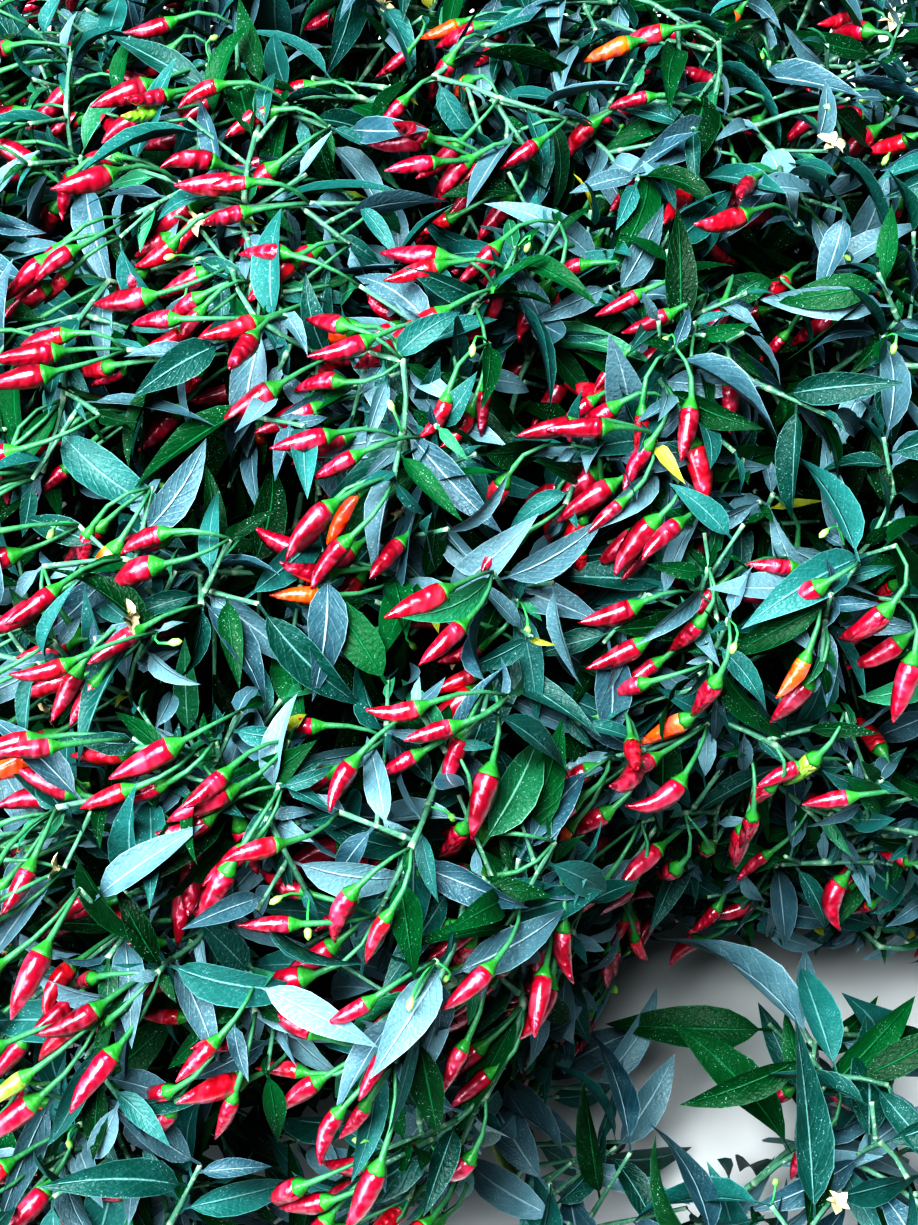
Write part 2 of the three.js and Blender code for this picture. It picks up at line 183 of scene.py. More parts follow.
def layOutMains(stem):
    # the boughs round the fork, which leave the trunk at different heights
    mains = []
    count = mainBough["count"]
    for i in range(count):
        bearing = mainBough["turn"] + i * 360 / count
        end = atBearing(bearing, mainBough["out"] * planRadius(bearing), mainBough["height"])
        share = np.interp((i * 2) % count / count, (0, 1), mainBough["shares"])
        limb = limbOf(f"bough_main_{i + 1}", stem, share, end, mainBough["arch"], limbRadii["main"])
        mains.append({**limb, "bearing": bearing})
    return mains


def layOutMasses(fork):
    # the masses stand at equal turns round each ring, and the low shoot has a place of its own
    masses = []
    for ring, count, turn, out, height, start in crown["rings"]:
        for i in range(count):
            bearing = turn + i * 360 / count
            radius = planRadius(bearing)
            middle = atBearing(bearing, out * radius, height)
            masses.append({
                "name": f"{ring}_{i + 1}", "ring": ring, "bearing": bearing, "middle": middle,
                "start": fork + (middle - fork) * start, "size": radius / crown["radius"],
                "fill": crownFill,
            })
    masses.append({"name": "low_shoot", "ring": "low", "fill": lowShootFill, **lowShoot})
    for number, mass in enumerate(masses):
        mass["number"] = number
        others = np.array([other["middle"] for other in masses if other is not mass])
        mass["towards"] = unit(others - mass["middle"])
        mass["halfway"] = np.linalg.norm(others - mass["middle"], axis=1) / 2
    return masses


def carryMasses(masses, mains, lead, stem):
    # a side bough for each mass, from the highest down, on the leader or the main bough nearest in bearing
    carried = {}
    carriers = []
    for mass in sorted(masses[:-1], key=lambda one: -one["start"][2]):
        top = mass["ring"] == "top"
        turns = [abs((limb["bearing"] - mass["bearing"] + 540) % 360 - 180) for limb in mains]
        main = lead if top else mains[int(np.argmin(turns))]
        place = carried.get(main["name"], 0)
        carried[main["name"]] = place + 1
        share = sideBough["top" if top else "around"][place]
        arch = sideBough["skirtArch"] if mass["ring"] == "skirt" else 0
        bough = limbOf("bough_" + mass["name"], main, share, mass["start"], arch, limbRadii["side"])
        carriers.append((mass, bough))
    low = limbOf("bough_low_shoot", stem, lowShoot["share"], lowShoot["start"], 0, limbRadii["low"])
    low["curve"] = (low["curve"][0], lowShoot["bend"], lowShoot["start"])
    return [*carriers, (masses[-1], low)]


def layOutLimbs():
    fork = np.array([*trunk["lean"], trunk["height"]], float)
    stem = {"name": "trunk", "curve": (np.zeros(3), upward * trunk["height"] / 2, fork)}
    stem["radii"] = (trunk["foot"], trunk["foot"])
    mains = layOutMains(stem)
    lead = limbOf("bough_leader", stem, leader["share"], upward * leader["height"], 0, limbRadii["leader"])
    masses = layOutMasses(fork)
    carriers = carryMasses(masses, mains, lead, stem)
    return stem, [*mains, lead, *(bough for mass, bough in carriers)], masses, carriers


stem, boughs, masses, carriers = layOutLimbs()
lowNumber = masses[-1]["number"]
foliageNodes = [f"foliage_{mass['name']}" for mass in masses]
print("limbs laid out:", 1 + len(boughs), "with", len(masses), "masses")

# Twigs fork as the solids' twigs do for the first levels, and then go on to finer ones.
twig = {
    "stem": 20, "length": (42, 44, 40, 34, 30, 26, 22), "shortest": 0.85, "varies": 0.3,
    "radius": (2.2, 1.9, 1.6, 1.3, 1.25, 1.2, 1.15, 1.0),
    "spread": (38, 40, 38, 36, 38, 36), "swing": 0.4,
    "heel": 4, "heelRadius": 0.4, "stagger": 5,  # a side twig starts inside the one that it leaves
    "tries": 4, "bendIn": 0.35,  # a twig without room is bent inwards, a few times over
    "clear": 1.5,  # how far twigs keep from every limb
    "solidLevels": 4,
    "fineEdge": 0.97,  # finer twigs stop short of the dome, so that their leaves end at it
    "fineOverlap": 14,  # and may pass the planes halfway to the next masses
    "outward": 0.18,  # how far they turn towards the light
    "lowLevels": 6,  # the low shoot forks less, and carries fewer and larger leaves
}
dice = {"mass": 7919, "path": 104729, "times": 1664525, "plus": 1013904223, "range": 2 ** 32}
limbSpacing = 5
runs, twigs = [], []


def chances(number, path):
    # repeatable numbers from 0 to 1 for one twig, by the rule of the solids: the state is multiplied, added
    # to and wrapped for each, and the first two are passed over
    state = number * dice["mass"] + path * dice["path"] + crown["seed"]
    drawn = 0
    while True:
        state = (state * dice["times"] + dice["plus"]) % dice["range"]
        drawn += 1
        if drawn > 2:
            yield state / dice["range"]


def limbPoints():
    # points every 5 mm along every limb, with the limb's radius there
    points, radii = [], []
    for limb in [stem, *boughs]:
        count = math.ceil(lengthOf(limb["curve"]) / limbSpacing) + 1
        points.append(bezier(*limb["curve"], np.linspace(0, 1, count)))
        radii.append(np.linspace(*limb["radii"], count))
    return np.concatenate(points), np.concatenate(radii)


limbPlaces, limbThickness = limbPoints()


def clearOfLimbs(a, b, radius):
    # every limb point's distance from the segment a to b, against the radii and a gap
    along = b - a
    t = np.clip((limbPlaces - a) @ along / (along @ along), 0, 1)
    gap = np.linalg.norm(limbPlaces - (a + t[:, None] * along), axis=1)
    return bool(np.all(gap > limbThickness + radius + twig["clear"]))


def roomFor(mass, p, margin, edge):
    # inside the crown, above its lowest level, and on the mass's own side of the halfway planes
    if mass["fill"](p) > edge or p[2] < crown["middle"] - crown["drop"] + max(margin, 0):
        return False
    return bool(np.all(mass["towards"] @ (p - mass["middle"]) < mass["halfway"] - crown["gap"] - margin))


def wayFor(mass, start, heading, level, length):
    # the first of a few directions, each bent further inwards, whose end has room, or none
    fine = level >= twig["solidLevels"]
    margin = -twig["fineOverlap"] if fine else twig["radius"][level]
    edge = twig["fineEdge"] if fine else 1
    inward = unit(mass["middle"] - start)
    way = unit(heading - inward * twig["outward"]) if fine else heading
    for tried in range(twig["tries"]):
        end = start + way * length
        if roomFor(mass, end, margin, edge):
            return way if clearOfLimbs(start, end, twig["radius"][level]) else None
        way = unit(way * (1 - twig["bendIn"]) + inward * twig["bendIn"])
    return None


def addTwig(start, end, way, level, turn, mass, tip=False):
    twigs.append(dict(start=start, end=end, way=way, level=level, turn=turn, mass=mass, tip=tip))


def growTwig(mass, run, heading, level, path):
    # one twig, and the two that fork from its end: the first goes on in its run, the other starts a new one
    chance = chances(mass["number"], path)
    start = run["points"][-1]
    length = mass["size"] * twig["length"][level] * (twig["shortest"] + twig["varies"] * next(chance))
    turn = next(chance) * math.pi
    way = wayFor(mass, start, heading, level, length)
    if way is None:
        return
    end = start + way * length
    if len(run["points"]) == 1:
        run["points"].append(start + way * twig["heel"])
        run["radii"].append(twig["radius"][level])
        runs.append(run)
    run["points"].append(end)
    run["radii"].append(twig["radius"][level + 1])
    tip = level + 1 == (twig["lowLevels"] if mass is masses[-1] else len(twig["length"]))
    addTwig(start, end, way, level, turn, mass["number"], tip)
    for side in () if tip else (0, 1):
        angle = (level % 2 + 2 * side) * math.pi / 2 + (turn - math.pi / 2) * twig["swing"]
        onward = opened(way, acrossAt(way, angle), math.radians(twig["spread"][level]))
        sideRun = {"points": [end - way * twig["stagger"]], "radii": [twig["heelRadius"]]}
        growTwig(mass, sideRun if side else run, onward, level + 1, path * 2 + side)


def growMass(mass, bough):
    # the mass's first run starts a gap away from its bough's tip
    bend, end = bough["curve"][1:]
    tangent = unit(end - bend)
    root = end + tangent * crown["gap"]
    radii = [limbRadii["side"][1], twig["radius"][0]]
    first = {"points": [root, root + tangent * twig["stem"]], "radii": radii}
    runs.append(first)
    growTwig(mass, first, unit(tangent + unit(mass["middle"] - root)), 0, 1)


for mass, bough in carriers:
    growMass(mass, bough)
forkedRuns = len(runs)

# Leafy spurs along the boughs and below the first twigs fill the shade inside the crown.
spur = {
    "spacing": 15, "along": (0.3, 0.98), "ahead": 0.01, "forward": 0.4, "lift": 0.5, "heel": 0.2,
    "length": (35, 75), "radii": (1.4, 1.2, 0.8), "level": 7,
    "droopFrom": (2, 3, 4), "droop": (0.5, 1.4), "onward": 0.3, "lowest": 22,
}
# Thin side shoots on the last twigs carry the small leaves of its surface.
shoot = {
    "from": (4, 5, 6), "length": (20, 44), "spread": (40, 85), "outward": 0.5, "heel": 0.2,
    "radii": (1.1, 1.0, 0.8), "level": 8,
}
# Where a place inside the crown is far from every twig, the nearest one sends a spur towards it.
filling = {"tries": 5000, "edge": 0.9, "lowest": 30, "room": 24, "longest": 60}


def addSpur(start, way, length, kind, turn, number):
    # a straight thin twig that tapers from its heel to its tip
    end = start + way * length
    heel = start + way * length * kind["heel"]
    runs.append({"points": [start, heel, end], "radii": list(kind["radii"])})
    addTwig(start, end, way, kind["level"], turn, number)


def spursOnBoughs(chance):
    # at equal steps along the side boughs, the main boughs and the leader
    for mass, bough in [*carriers, *((None, limb) for limb in boughs[:mainBough["count"] + 1])]:
        count = int(lengthOf(bough["curve"]) / spur["spacing"])
        for share in np.linspace(*spur["along"], max(count, 1)):
            start = bezier(*bough["curve"], share)
            tangent = unit(bezier(*bough["curve"], share + spur["ahead"]) - start)
            turn = chance.uniform(0, fullTurn)
            way = unit(acrossAt(tangent, turn) + tangent * spur["forward"] + upward * spur["lift"])
            length = chance.uniform(*spur["length"])
            if mass is not masses[-1] or lowShootFill(start + way * length) < 1:
                addSpur(start, way, length, spur, turn, mass["number"] if mass else 0)
    for end in lowShoot["leafy"]:
        way = np.array(end) - lowShoot["start"]
        turn = chance.uniform(0, fullTurn)
        addSpur(lowShoot["start"], unit(way), np.linalg.norm(way), spur, turn, lowNumber)


def droopFrom(one, middle, chance):
    # two spurs that hang from the middle of a twig, one steeper than the other, and end above the ground
    for droop in spur["droop"]:
        sideways = acrossAt(upward, chance.uniform(0, fullTurn))
        way = unit(sideways + one["way"] * spur["onward"] - upward * droop)
        length = min(chance.uniform(*spur["length"]), (middle[2] - spur["lowest"]) / max(-way[2], 0.1))
        if length > spur["length"][0] / 2 and crownFill(middle + way * length) < twig["fineEdge"]:
            addSpur(middle, way, length, spur, one["turn"], one["mass"])


def shootFrom(one, middle, chance):
    # a shoot that opens from the middle of a twig and turns away from the middle of its mass
    spread = math.radians(chance.uniform(*shoot["spread"]))
    way = opened(one["way"], acrossAt(one["way"], chance.uniform(0, fullTurn)), spread)
    way = unit(way + unit(middle - masses[one["mass"]]["middle"]) * shoot["outward"])
    length = chance.uniform(*shoot["length"])
    if crownFill(middle + way * length) < twig["fineEdge"]:
        addSpur(middle, way, length, shoot, one["turn"], one["mass"])


def growSpurs():
    chance = np.random.default_rng(5)
    spursOnBoughs(chance)
    for one in [one for one in twigs if one["mass"] != lowNumber]:
        middle = (one["start"] + one["end"]) / 2
        if one["level"] in spur["droopFrom"]:
            droopFrom(one, middle, chance)
        if one["level"] in shoot["from"]:
            shootFrom(one, middle, chance)


def growIntoGaps():
    chance = np.random.default_rng(9)
    places = chance.uniform(*np.array(cadBox) / metre, (filling["tries"], 3))
    places = places[(crownFill(places) < filling["edge"]) & (places[:, 2] > filling["lowest"])]
    ends = np.array([one["end"] for one in twigs] + [(one["start"] + one["end"]) / 2 for one in twigs])
    numbers = [one["mass"] for one in twigs] * 2
    for place in places:
        gaps = np.linalg.norm(ends - place, axis=1)
        nearest = int(np.argmin(gaps))
        if gaps[nearest] > filling["room"]:
            length = min(gaps[nearest], filling["longest"])
            start, number = ends[nearest], numbers[nearest]
            way = unit(place - start)
            addSpur(start, way, length, spur, chance.uniform(0, fullTurn), number)
            ends = np.concatenate([ends, [start + way * length, start + way * length / 2]])
            numbers += [number] * 2


growSpurs()
growIntoGaps()
allTwigs = {key: np.array([one[key] for one in twigs]) for key in twigs[0]}
print("twigs grown:", len(twigs), "in", len(runs), "runs", np.bincount(allTwigs["level"]))


def gridFaces(rows, columns, wrap=False):
    # quads of a grid of points counted row by row, joined round into a tube if wrapped
    r, c = np.meshgrid(np.arange(rows - 1), np.arange(columns - (not wrap)), indexing="ij")
    beside = (c + 1) % columns
    above, below = r * columns, (r + 1) * columns
    return np.stack([above + c, above + beside, below + beside, below + c], -1).reshape(-1, 4)


def endFaces(rows, columns):
    # triangles that close a tube's first and last rings on two more points at their middles
    here = np.arange(columns)
    beside = (here + 1) % columns
    middle = np.full(columns, rows * columns)
    last = (rows - 1) * columns
    return np.concatenate([
        np.stack([beside, here, middle], -1),
        np.stack([last + here, last + beside, middle + 1], -1),
    ])


def manyFaces(faces, copies, points):
    # the faces of one shape for each copy of it, counted on by the points of one copy
    return (faces[None] + (np.arange(copies) * points)[:, None, None]).reshape(-1, faces.shape[-1])


def makePiece(name, surface, material, nodes, tone=None):
    # one mesh from rows of points in mm, arrays of quads or triangles, surface coordinates, and a tone for
    # each point. It stands for some nodes of the solids.
    points, faces, uv = surface
    mesh = bpy.data.meshes.new(name)
    mesh.vertices.add(len(points))
    mesh.vertices.foreach_set("co", (points * metre).astype(np.float32).ravel())
    corners = np.concatenate([part.ravel() for part in faces]).astype(np.int32)
    sizes = np.concatenate([np.full(len(part), part.shape[1], dtype=np.int32) for part in faces])
    mesh.loops.add(len(corners))
    mesh.loops.foreach_set("vertex_index", corners)
    mesh.polygons.add(len(sizes))
    mesh.polygons.foreach_set("loop_start", (np.cumsum(sizes) - sizes).astype(np.int32))
    mesh.polygons.foreach_set("use_smooth", np.ones(len(sizes), dtype=bool))
    mesh.uv_layers.new(name="surface").data.foreach_set("uv", uv[corners].astype(np.float32).ravel())
    if tone is not None:
        mesh.attributes.new("tone", "FLOAT", "POINT").data.foreach_set("value", tone.astype(np.float32))
    mesh.update()
    mesh.validate()
    piece = bpy.data.objects.new(name, mesh)
    bpy.context.scene.collection.objects.link(piece)
    mesh.materials.append(material)
    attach(piece, "root")
    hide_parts(*nodes)
    print("made", name, "with", int((sizes - 2).sum()), "triangles")


def frames(line):
    # two unit vectors square to a line at each of its points: across it level, and over that
    along = unit(np.gradient(line, axis=-2))
    chord = unit(line[..., -1, :] - line[..., 0, :])
    steep = np.abs(chord[..., 2:]) > 0.8
    side = unit(np.cross(along, np.where(steep, eastward, upward)[..., None, :]))
    return side, np.cross(side, along)


def around(sides):
    # equal turns round a ring
    return np.linspace(0, fullTurn, sides, endpoint=False)


def sweep(line, radii, sides):
    # rings about lines: centre + radius (cos a side + sin a over), for a round the ring
    side, over = frames(line)
    a = around(sides)[:, None]
    ring = np.cos(a) * side[..., None, :] + np.sin(a) * over[..., None, :]
    reach = radii if radii.ndim == line.ndim else radii[..., None]
    return line[..., None, :] + reach[..., None] * ring


def tubes(rings):
    # points, faces and surface coordinates of many tubes at once, from rings (copies, rows, columns, 3)
    copies, rows, columns = rings.shape[:3]
    ends = np.stack([rings[:, 0].mean(1), rings[:, -1].mean(1)], 1)
    points = np.concatenate([rings.reshape(copies, -1, 3), ends], 1)
    shapes = gridFaces(rows, columns, True), endFaces(rows, columns)
    faces = [manyFaces(part, copies, points.shape[1]) for part in shapes]
    t, a = np.meshgrid(np.linspace(0, 1, rows), np.arange(columns) / columns, indexing="ij")
    uv = np.concatenate([np.stack([a, t], -1).reshape(-1, 2), [[0.5, 0], [0.5, 1]]])
    return points.reshape(-1, 3), faces, np.tile(uv, (copies, 1))


def joined(parts):
    # several (points, faces, uv) made one, with their faces counted on
    points, faces, uv, count = [], [], [], 0
    for somePoints, someFaces, someUv in parts:
        points.append(somePoints)
        uv.append(someUv)
        faces += [part + count for part in someFaces]
        count += len(somePoints)
    return np.concatenate(points), faces, np.concatenate(uv)


def hexColour(text):
    # an sRGB hex value as linear light: ((c + 0.055) / 1.055)^2.4 above its short straight foot
    c = np.array([int(text[i:i + 2], 16) / 255 for i in (1, 3, 5)])
    linear = np.where(c > 0.04045, ((c + 0.055) / 1.055) ** 2.4, c / 12.92)
    return (*(float(x) for x in linear), 1.0)


def perMetre(size):
    # the scale that gives a pattern on Object coordinates features of this size in mm
    return 1 / (size * metre)


def addNode(tree, kind, inputs=None, output=0, **settings):
    # adds a node with its settings, sets its inputs or joins them to other outputs, and returns one output
    made = tree.nodes.new("ShaderNode" + kind)
    for name, value in settings.items():
        setattr(made, name, value)
    for socket, value in (inputs or {}).items():
        if isinstance(value, bpy.types.NodeSocket):
            tree.links.new(value, made.inputs[socket])
        else:
            made.inputs[socket].default_value = value
    return made.outputs[output]


def startMaterial(name, **plain):
    # a material with its shader, whose plain values are set on the shader's own sockets
    material = bpy.data.materials.new(name)
    material.use_nodes = True
    shader = material.node_tree.nodes["Principled BSDF"]
    for socket, value in plain.items():
        shader.inputs[socket.replace("_", " ")].default_value = value
    return material, material.node_tree, shader


def finishMaterial(tree, shader, colour, roughness, height, depth):
    # joins a pattern's colour and roughness, and its height as a bump this many mm deep
    tree.links.new(colour, shader.inputs["Base Color"])
    tree.links.new(roughness, shader.inputs["Roughness"])
    bump = addNode(tree, "Bump", {"Height": height, "Distance": depth * metre, "Strength": 1.0})
    tree.links.new(bump, shader.inputs["Normal"])


# Leaves, one set of settings for the blade and one for its finishes.
leaf = {
    "perLevel": (4, 4, 4, 5, 6, 5, 5, 8, 3), "along": 0.8, "turn": 2.4, "turnStray": 0.35,
    "length": (29, 64), "shorter": 1.35, "slim": (0.21, 0.32),
    "young": (11, 26), "small": 0.35, "youngOpening": 0.6,  # young leaves end the last twigs, half closed
    "fineRows": (0, 0.1, 0.17, 0.27, 0.4, 0.55, 0.71, 0.87, 1.0),
    "coarseRows": (0, 0.13, 0.28, 0.5, 0.76, 1.0),
    "shadeRows": (0, 0.16, 0.42, 1.0),
    "stalk": 0.13, "stalkHalf": 0.75, "powers": (0.62, 1.2),
    "bend": (0.2, 1.2), "fold": (8, 42), "bow": 0.12, "twist": 0.5, "ripple": 0.1, "ripples": 1.2,
    "opening": (30, 72), "droop": (-0.05, 0.7), "lean": 0.5, "stray": 0.5,
    # inner: below this fill a leaf takes the painted shade finish
    "reach": 18, "edge": 1.12, "inner": 0.5,
    "lowShoot": 1.6, "lowShare": 0.3, "lowEdge": 1.8,
}
bladeColumns = (-1, 0, 1)
offGround = 12  # leaves, fruits and buds end this far above the floor
# dark and light of the blade, its veins, how much it shines, and its weights among broad and young leaves
leafFinishes = {
    # painted shade: a near-black green for the leaves deep inside the crown, where shade falls
    "leaves_painted_shade": ("#001a0a", "#003a18", "#08502a", 0.06, 0, 0),
    "leaves_deep": ("#002a12", "#04522c", "#1e724a", 0.17, 0.245, 0.245),
    "leaves_mid": ("#023e34", "#2a6c68", "#78aaa6", 0.34, 0.34, 0.34),
    # painted sheen: a leaf green paled to bluish grey, standing for the sky's reflection on the waxy tops
    "leaves_painted_sheen": ("#284e58", "#66888f", "#a8c2ca", 0.42, 0.35, 0.35),
    "leaves_young": ("#105236", "#2c7c5a", "#80bca0", 0.35, 0.02, 0.11),
    "leaves_yellowing": ("#6f8a36", "#a3a83c", "#c9cc84", 0.4, 0, 0.02),
}
# Here the rib, the side veins' width and the edge are shares of the half blade, and patterns are mm. Real
# pebbling and dust are finer than 1.6 and 0.7 mm, and are drawn coarser to show.
veins = {
    "rib": (0.02, 0.09), "sides": 9, "slant": 2.4, "sideWidth": (0.02, 0.13), "sideShare": 0.1,
    "edge": 0.93, "mottle": 12, "pebble": 1.6, "speck": 0.7, "dust": "#c9dcdc", "relief": 0.4,
}


def leafMaterial(name, dark, light, vein, shine):
    # living pepper leaf, waxy on top: satin and bluish, a pale sunken rib, faint side veins and fine specks
    material, tree, shader = startMaterial(name, IOR=1.45, Specular_IOR_Level=shine)
    place = addNode(tree, "TexCoord", output="Object")
    surface = addNode(tree, "UVMap", uv_map="surface")
    u = addNode(tree, "SeparateXYZ", {0: surface}, "X")
    v = addNode(tree, "SeparateXYZ", {0: surface}, "Y")
    centred = addNode(tree, "Math", {0: u, 1: 0.5}, operation="SUBTRACT")
    halfway = addNode(tree, "Math", {0: centred}, operation="ABSOLUTE")
    across = addNode(tree, "Math", {0: halfway, 1: 2.0}, operation="MULTIPLY")
    rib = addNode(tree, "MapRange", {0: across, 1: veins["rib"][0], 2: veins["rib"][1], 3: 1.0, 4: 0.0})
    slant = addNode(tree, "Math", {0: across, 1: -veins["slant"]}, operation="MULTIPLY")
    ladder = addNode(tree, "Math", {0: v, 1: float(veins["sides"]), 2: slant}, operation="MULTIPLY_ADD")
    rung = addNode(tree, "Math", {0: ladder, 1: 0.5}, operation="PINGPONG")
    thin, wide = veins["sideWidth"]
    side = addNode(tree, "MapRange", {0: rung, 1: thin, 2: wide, 3: 1.0, 4: 0.0})
    edge = addNode(tree, "MapRange", {0: across, 1: veins["edge"], 2: 1.0, 3: 0.0, 4: 1.0})
    mottle = addNode(tree, "TexNoise", {"Vector": place, "Scale": perMetre(veins["mottle"]), "Detail": 3.0})
    pebble = addNode(tree, "TexNoise", {"Vector": place, "Scale": perMetre(veins["pebble"]), "Detail": 1.0})
    dust = addNode(tree, "TexNoise", {"Vector": place, "Scale": perMetre(veins["speck"]), "Detail": 0.0})
    tone = addNode(tree, "Attribute", output="Fac", attribute_name="tone")
    mixed = addNode(tree, "Math", {0: mottle, 1: 0.7, 2: -0.35}, operation="MULTIPLY_ADD")
    share = addNode(tree, "Math", {0: tone, 1: mixed}, operation="ADD", use_clamp=True)
    blade = addNode(tree, "Mix", {0: share, 6: dark, 7: light}, 2, data_type="RGBA")
    lines = addNode(tree, "Math", {0: side, 1: veins["sideShare"], 2: edge}, operation="MULTIPLY_ADD")
    soft = addNode(tree, "Math", {0: lines, 1: 0.5}, operation="MULTIPLY")
    paler = addNode(tree, "Math", {0: rib, 1: 0.75, 2: soft}, operation="MULTIPLY_ADD", use_clamp=True)
    veined = addNode(tree, "Mix", {0: paler, 6: blade, 7: vein}, 2, data_type="RGBA")
    dusty = addNode(tree, "MapRange", {0: mottle, 1: 0.42, 2: 0.68, 3: 0.0, 4: 0.42})
    specks = addNode(tree, "MapRange", {0: dust, 1: 0.71, 2: 0.77, 3: 0.0, 4: dusty})
    colour = addNode(tree, "Mix", {0: specks, 6: veined, 7: hexColour(veins["dust"])}, 2, data_type="RGBA")
    roughness = addNode(tree, "MapRange", {0: mottle, 1: 0.3, 2: 0.7, 3: 0.38, 4: 0.52})
    sunk = addNode(tree, "Math", {0: rib, 1: -1.0, 2: pebble}, operation="MULTIPLY_ADD")
    height = addNode(tree, "Math", {0: side, 1: -0.2, 2: sunk}, operation="MULTIPLY_ADD")
    finishMaterial(tree, shader, colour, roughness, height, veins["relief"])
    return material


def fillOf(points, which):
    # how near the crown's surface points lie, each in the crown or in the low shoot's own space
    low = allTwigs["mass"][which] == lowNumber
    if points.ndim == 3:
        low = low[:, None]
    return np.where(low, lowShootFill(points), crownFill(points))


def insideBox(points, spare):
    # whether every point of each organ stays within the solids' box and a little more, and off the ground
    low, high = np.array(cadBox) / metre
    low, high = low - spare, high + spare
    low[2] = offGround
    return np.all((points > low) & (points < high), axis=(1, 2))


def bladeWidth(t, half):
    # half-width past the stalk: t^0.62 (1-t)^1.2 over its peak, and a thin stalk that narrows outwards
    first, second = leaf["powers"]
    blade = np.clip((t - leaf["stalk"]) / (1 - leaf["stalk"]), 0, 1)
    peak = first / (first + second)
    shape = blade ** first * (1 - blade) ** second / (peak ** first * (1 - peak) ** second)
    return half[:, None] * shape + leaf["stalkHalf"] * (1 - t) ** 0.5


def leafBlades(habit, rows):
    # a blade: its rib bends down by an angle k t, and each side rises from it as a shallow V with a ripple.
    # The rib bows to one side by t^2, and the blade turns about it by an angle that grows with t.
    t = np.array(rows)
    s = np.array(bladeColumns)
    width = bladeWidth(t, habit["half"])
    bend = habit["bend"][:, None]
    fold = habit["fold"][:, None, None, None]
    twist = habit["twist"][:, None, None] * t[:, None]
    phase = habit["phase"][:, None]
    along, out = habit["along"][:, None], habit["out"][:, None]
    across = np.cross(out, along)
    size = habit["length"][:, None, None]
    rib = size * (np.sin(bend * t) / bend)[..., None] * along
    rib = rib - size * ((1 - np.cos(bend * t)) / bend)[..., None] * out
    rib = rib + size * habit["bow"][:, None, None] * (t ** 2)[:, None] * across + habit["root"][:, None]
    way = np.cos(bend * t)[..., None] * along - np.sin(bend * t)[..., None] * out
    face = np.cos(bend * t)[..., None] * out + np.sin(bend * t)[..., None] * along
    wide = across * np.cos(twist) + np.cross(way, across) * np.sin(twist)
    face = face * np.cos(twist) + np.cross(way, face) * np.sin(twist)
    reach = (width[..., None] * s)[..., None]
    wave = fullTurn * leaf["ripples"] * t[:, None] + np.where(s < 0, phase[..., :1], phase[..., 1:])
    rise = np.abs(reach) * (np.sin(fold) + (leaf["ripple"] * np.sin(wave) * np.abs(s))[..., None])
    return rib[:, :, None] + wide[:, :, None] * reach * np.cos(fold) + face[:, :, None] * rise


def bladeHabit(root, along, lean, length, slim, chance):
    # how each blade stands, and how it bends, folds, bows, twists and ripples
    n = len(root)
    return {
        "root": root, "along": along, "out": np.cross(along, unit(np.cross(lean, along))),
        "length": length, "half": length * slim / 2,
        "bend": chance.uniform(*leaf["bend"], n), "fold": np.radians(chance.uniform(*leaf["fold"], n)),
        "bow": chance.normal(0, leaf["bow"], n), "twist": chance.normal(0, leaf["twist"], n),
        "phase": chance.uniform(0, fullTurn, (n, 2)),
    }


def bladePiece(name, habit, rows, material, tone):
    # blades of one finish as one piece, on a grid of these rows
    points = leafBlades(habit, rows)
    copies, size = len(points), len(rows) * len(bladeColumns)
    u, v = np.meshgrid(np.array(bladeColumns) / 2 + 0.5, rows)
    uv = np.tile(np.stack([u, v], -1).reshape(-1, 2), (copies, 1))
    faces = [manyFaces(gridFaces(len(rows), len(bladeColumns)), copies, size)]
    makePiece(name, (points.reshape(-1, 3), faces, uv), material, foliageNodes, np.repeat(tone, size))


def picked(table, mask):
    # the rows of every array in a table that a mask keeps
    return {key: value[mask] for key, value in table.items()}


def standLeaves(chance):
    # every leaf's place along its twig, its way, size and habit, and whether it is young or the low shoot's
    counts = np.array(leaf["perLevel"])[allTwigs["level"]]
    which = np.repeat(np.arange(len(twigs)), counts)
    number = np.arange(len(which)) - np.repeat(np.cumsum(counts) - counts, counts)
    share = 1 - leaf["along"] * number / counts[which]
    own = picked(allTwigs, which)
    n = len(which)
    root = own["start"] + (own["end"] - own["start"]) * share[:, None]
    low = own["mass"] == lowNumber
    young = ((own["tip"] & (number < 2)) | (chance.random(n) < leaf["small"])) & ~low
    spin = own["turn"] + number * leaf["turn"] + chance.normal(0, leaf["turnStray"], n)
    opening = np.radians(chance.uniform(*leaf["opening"], n)) * np.where(young, leaf["youngOpening"], 1)
    along = opened(own["way"], acrossAt(own["way"], spin), opening)
    along = unit(along - upward * chance.uniform(*leaf["droop"], (n, 1)))
    lean = unit(root * inPlan) * leaf["lean"] + upward + chance.normal(0, leaf["stray"], (n, 3))
    share = np.where(young, chance.random(n), chance.random(n) ** leaf["shorter"])
    least, most = np.where(young[:, None], leaf["young"], leaf["length"]).T
    length = (least + (most - least) * share) * np.where(low, leaf["lowShoot"], 1)
    habit = bladeHabit(root, along, lean, length, chance.uniform(*leaf["slim"], n), chance)
    return {**habit, "which": which, "number": number, "low": low, "young": young}


def leavesInside(leaves, chance):
    # without those that reach out of the crown or the box, and with few on the low shoot
    low = leaves["low"]
    points = leafBlades(leaves, leaf["coarseRows"]).reshape(len(low), -1, 3)
    fills = fillOf(points, leaves["which"])
    keep = fills.max(axis=1) < np.where(low, leaf["lowEdge"], leaf["edge"])
    keep &= insideBox(points, leaf["reach"])
    keep &= ~low | (leaves["number"] < 1) | (chance.random(len(low)) < leaf["lowShare"])
    return picked({**leaves, "fill": fills.mean(axis=1)}, keep)


def finishOf(leaves, chance):
    # a finish for each leaf by weight, and the painted shade finish, the darkest, for those deep inside the
    # crown
    broad, young = np.array([finish[4:] for finish in leafFinishes.values()]).T
    weights = np.where(leaves["young"][:, None], young, broad)
    shares = np.cumsum(weights, axis=1) / weights.sum(axis=1, keepdims=True)
    order = (shares < chance.random((len(weights), 1))).sum(axis=1)
    return np.where((leaves["fill"] < leaf["inner"]) & ~leaves["low"], 0, order)


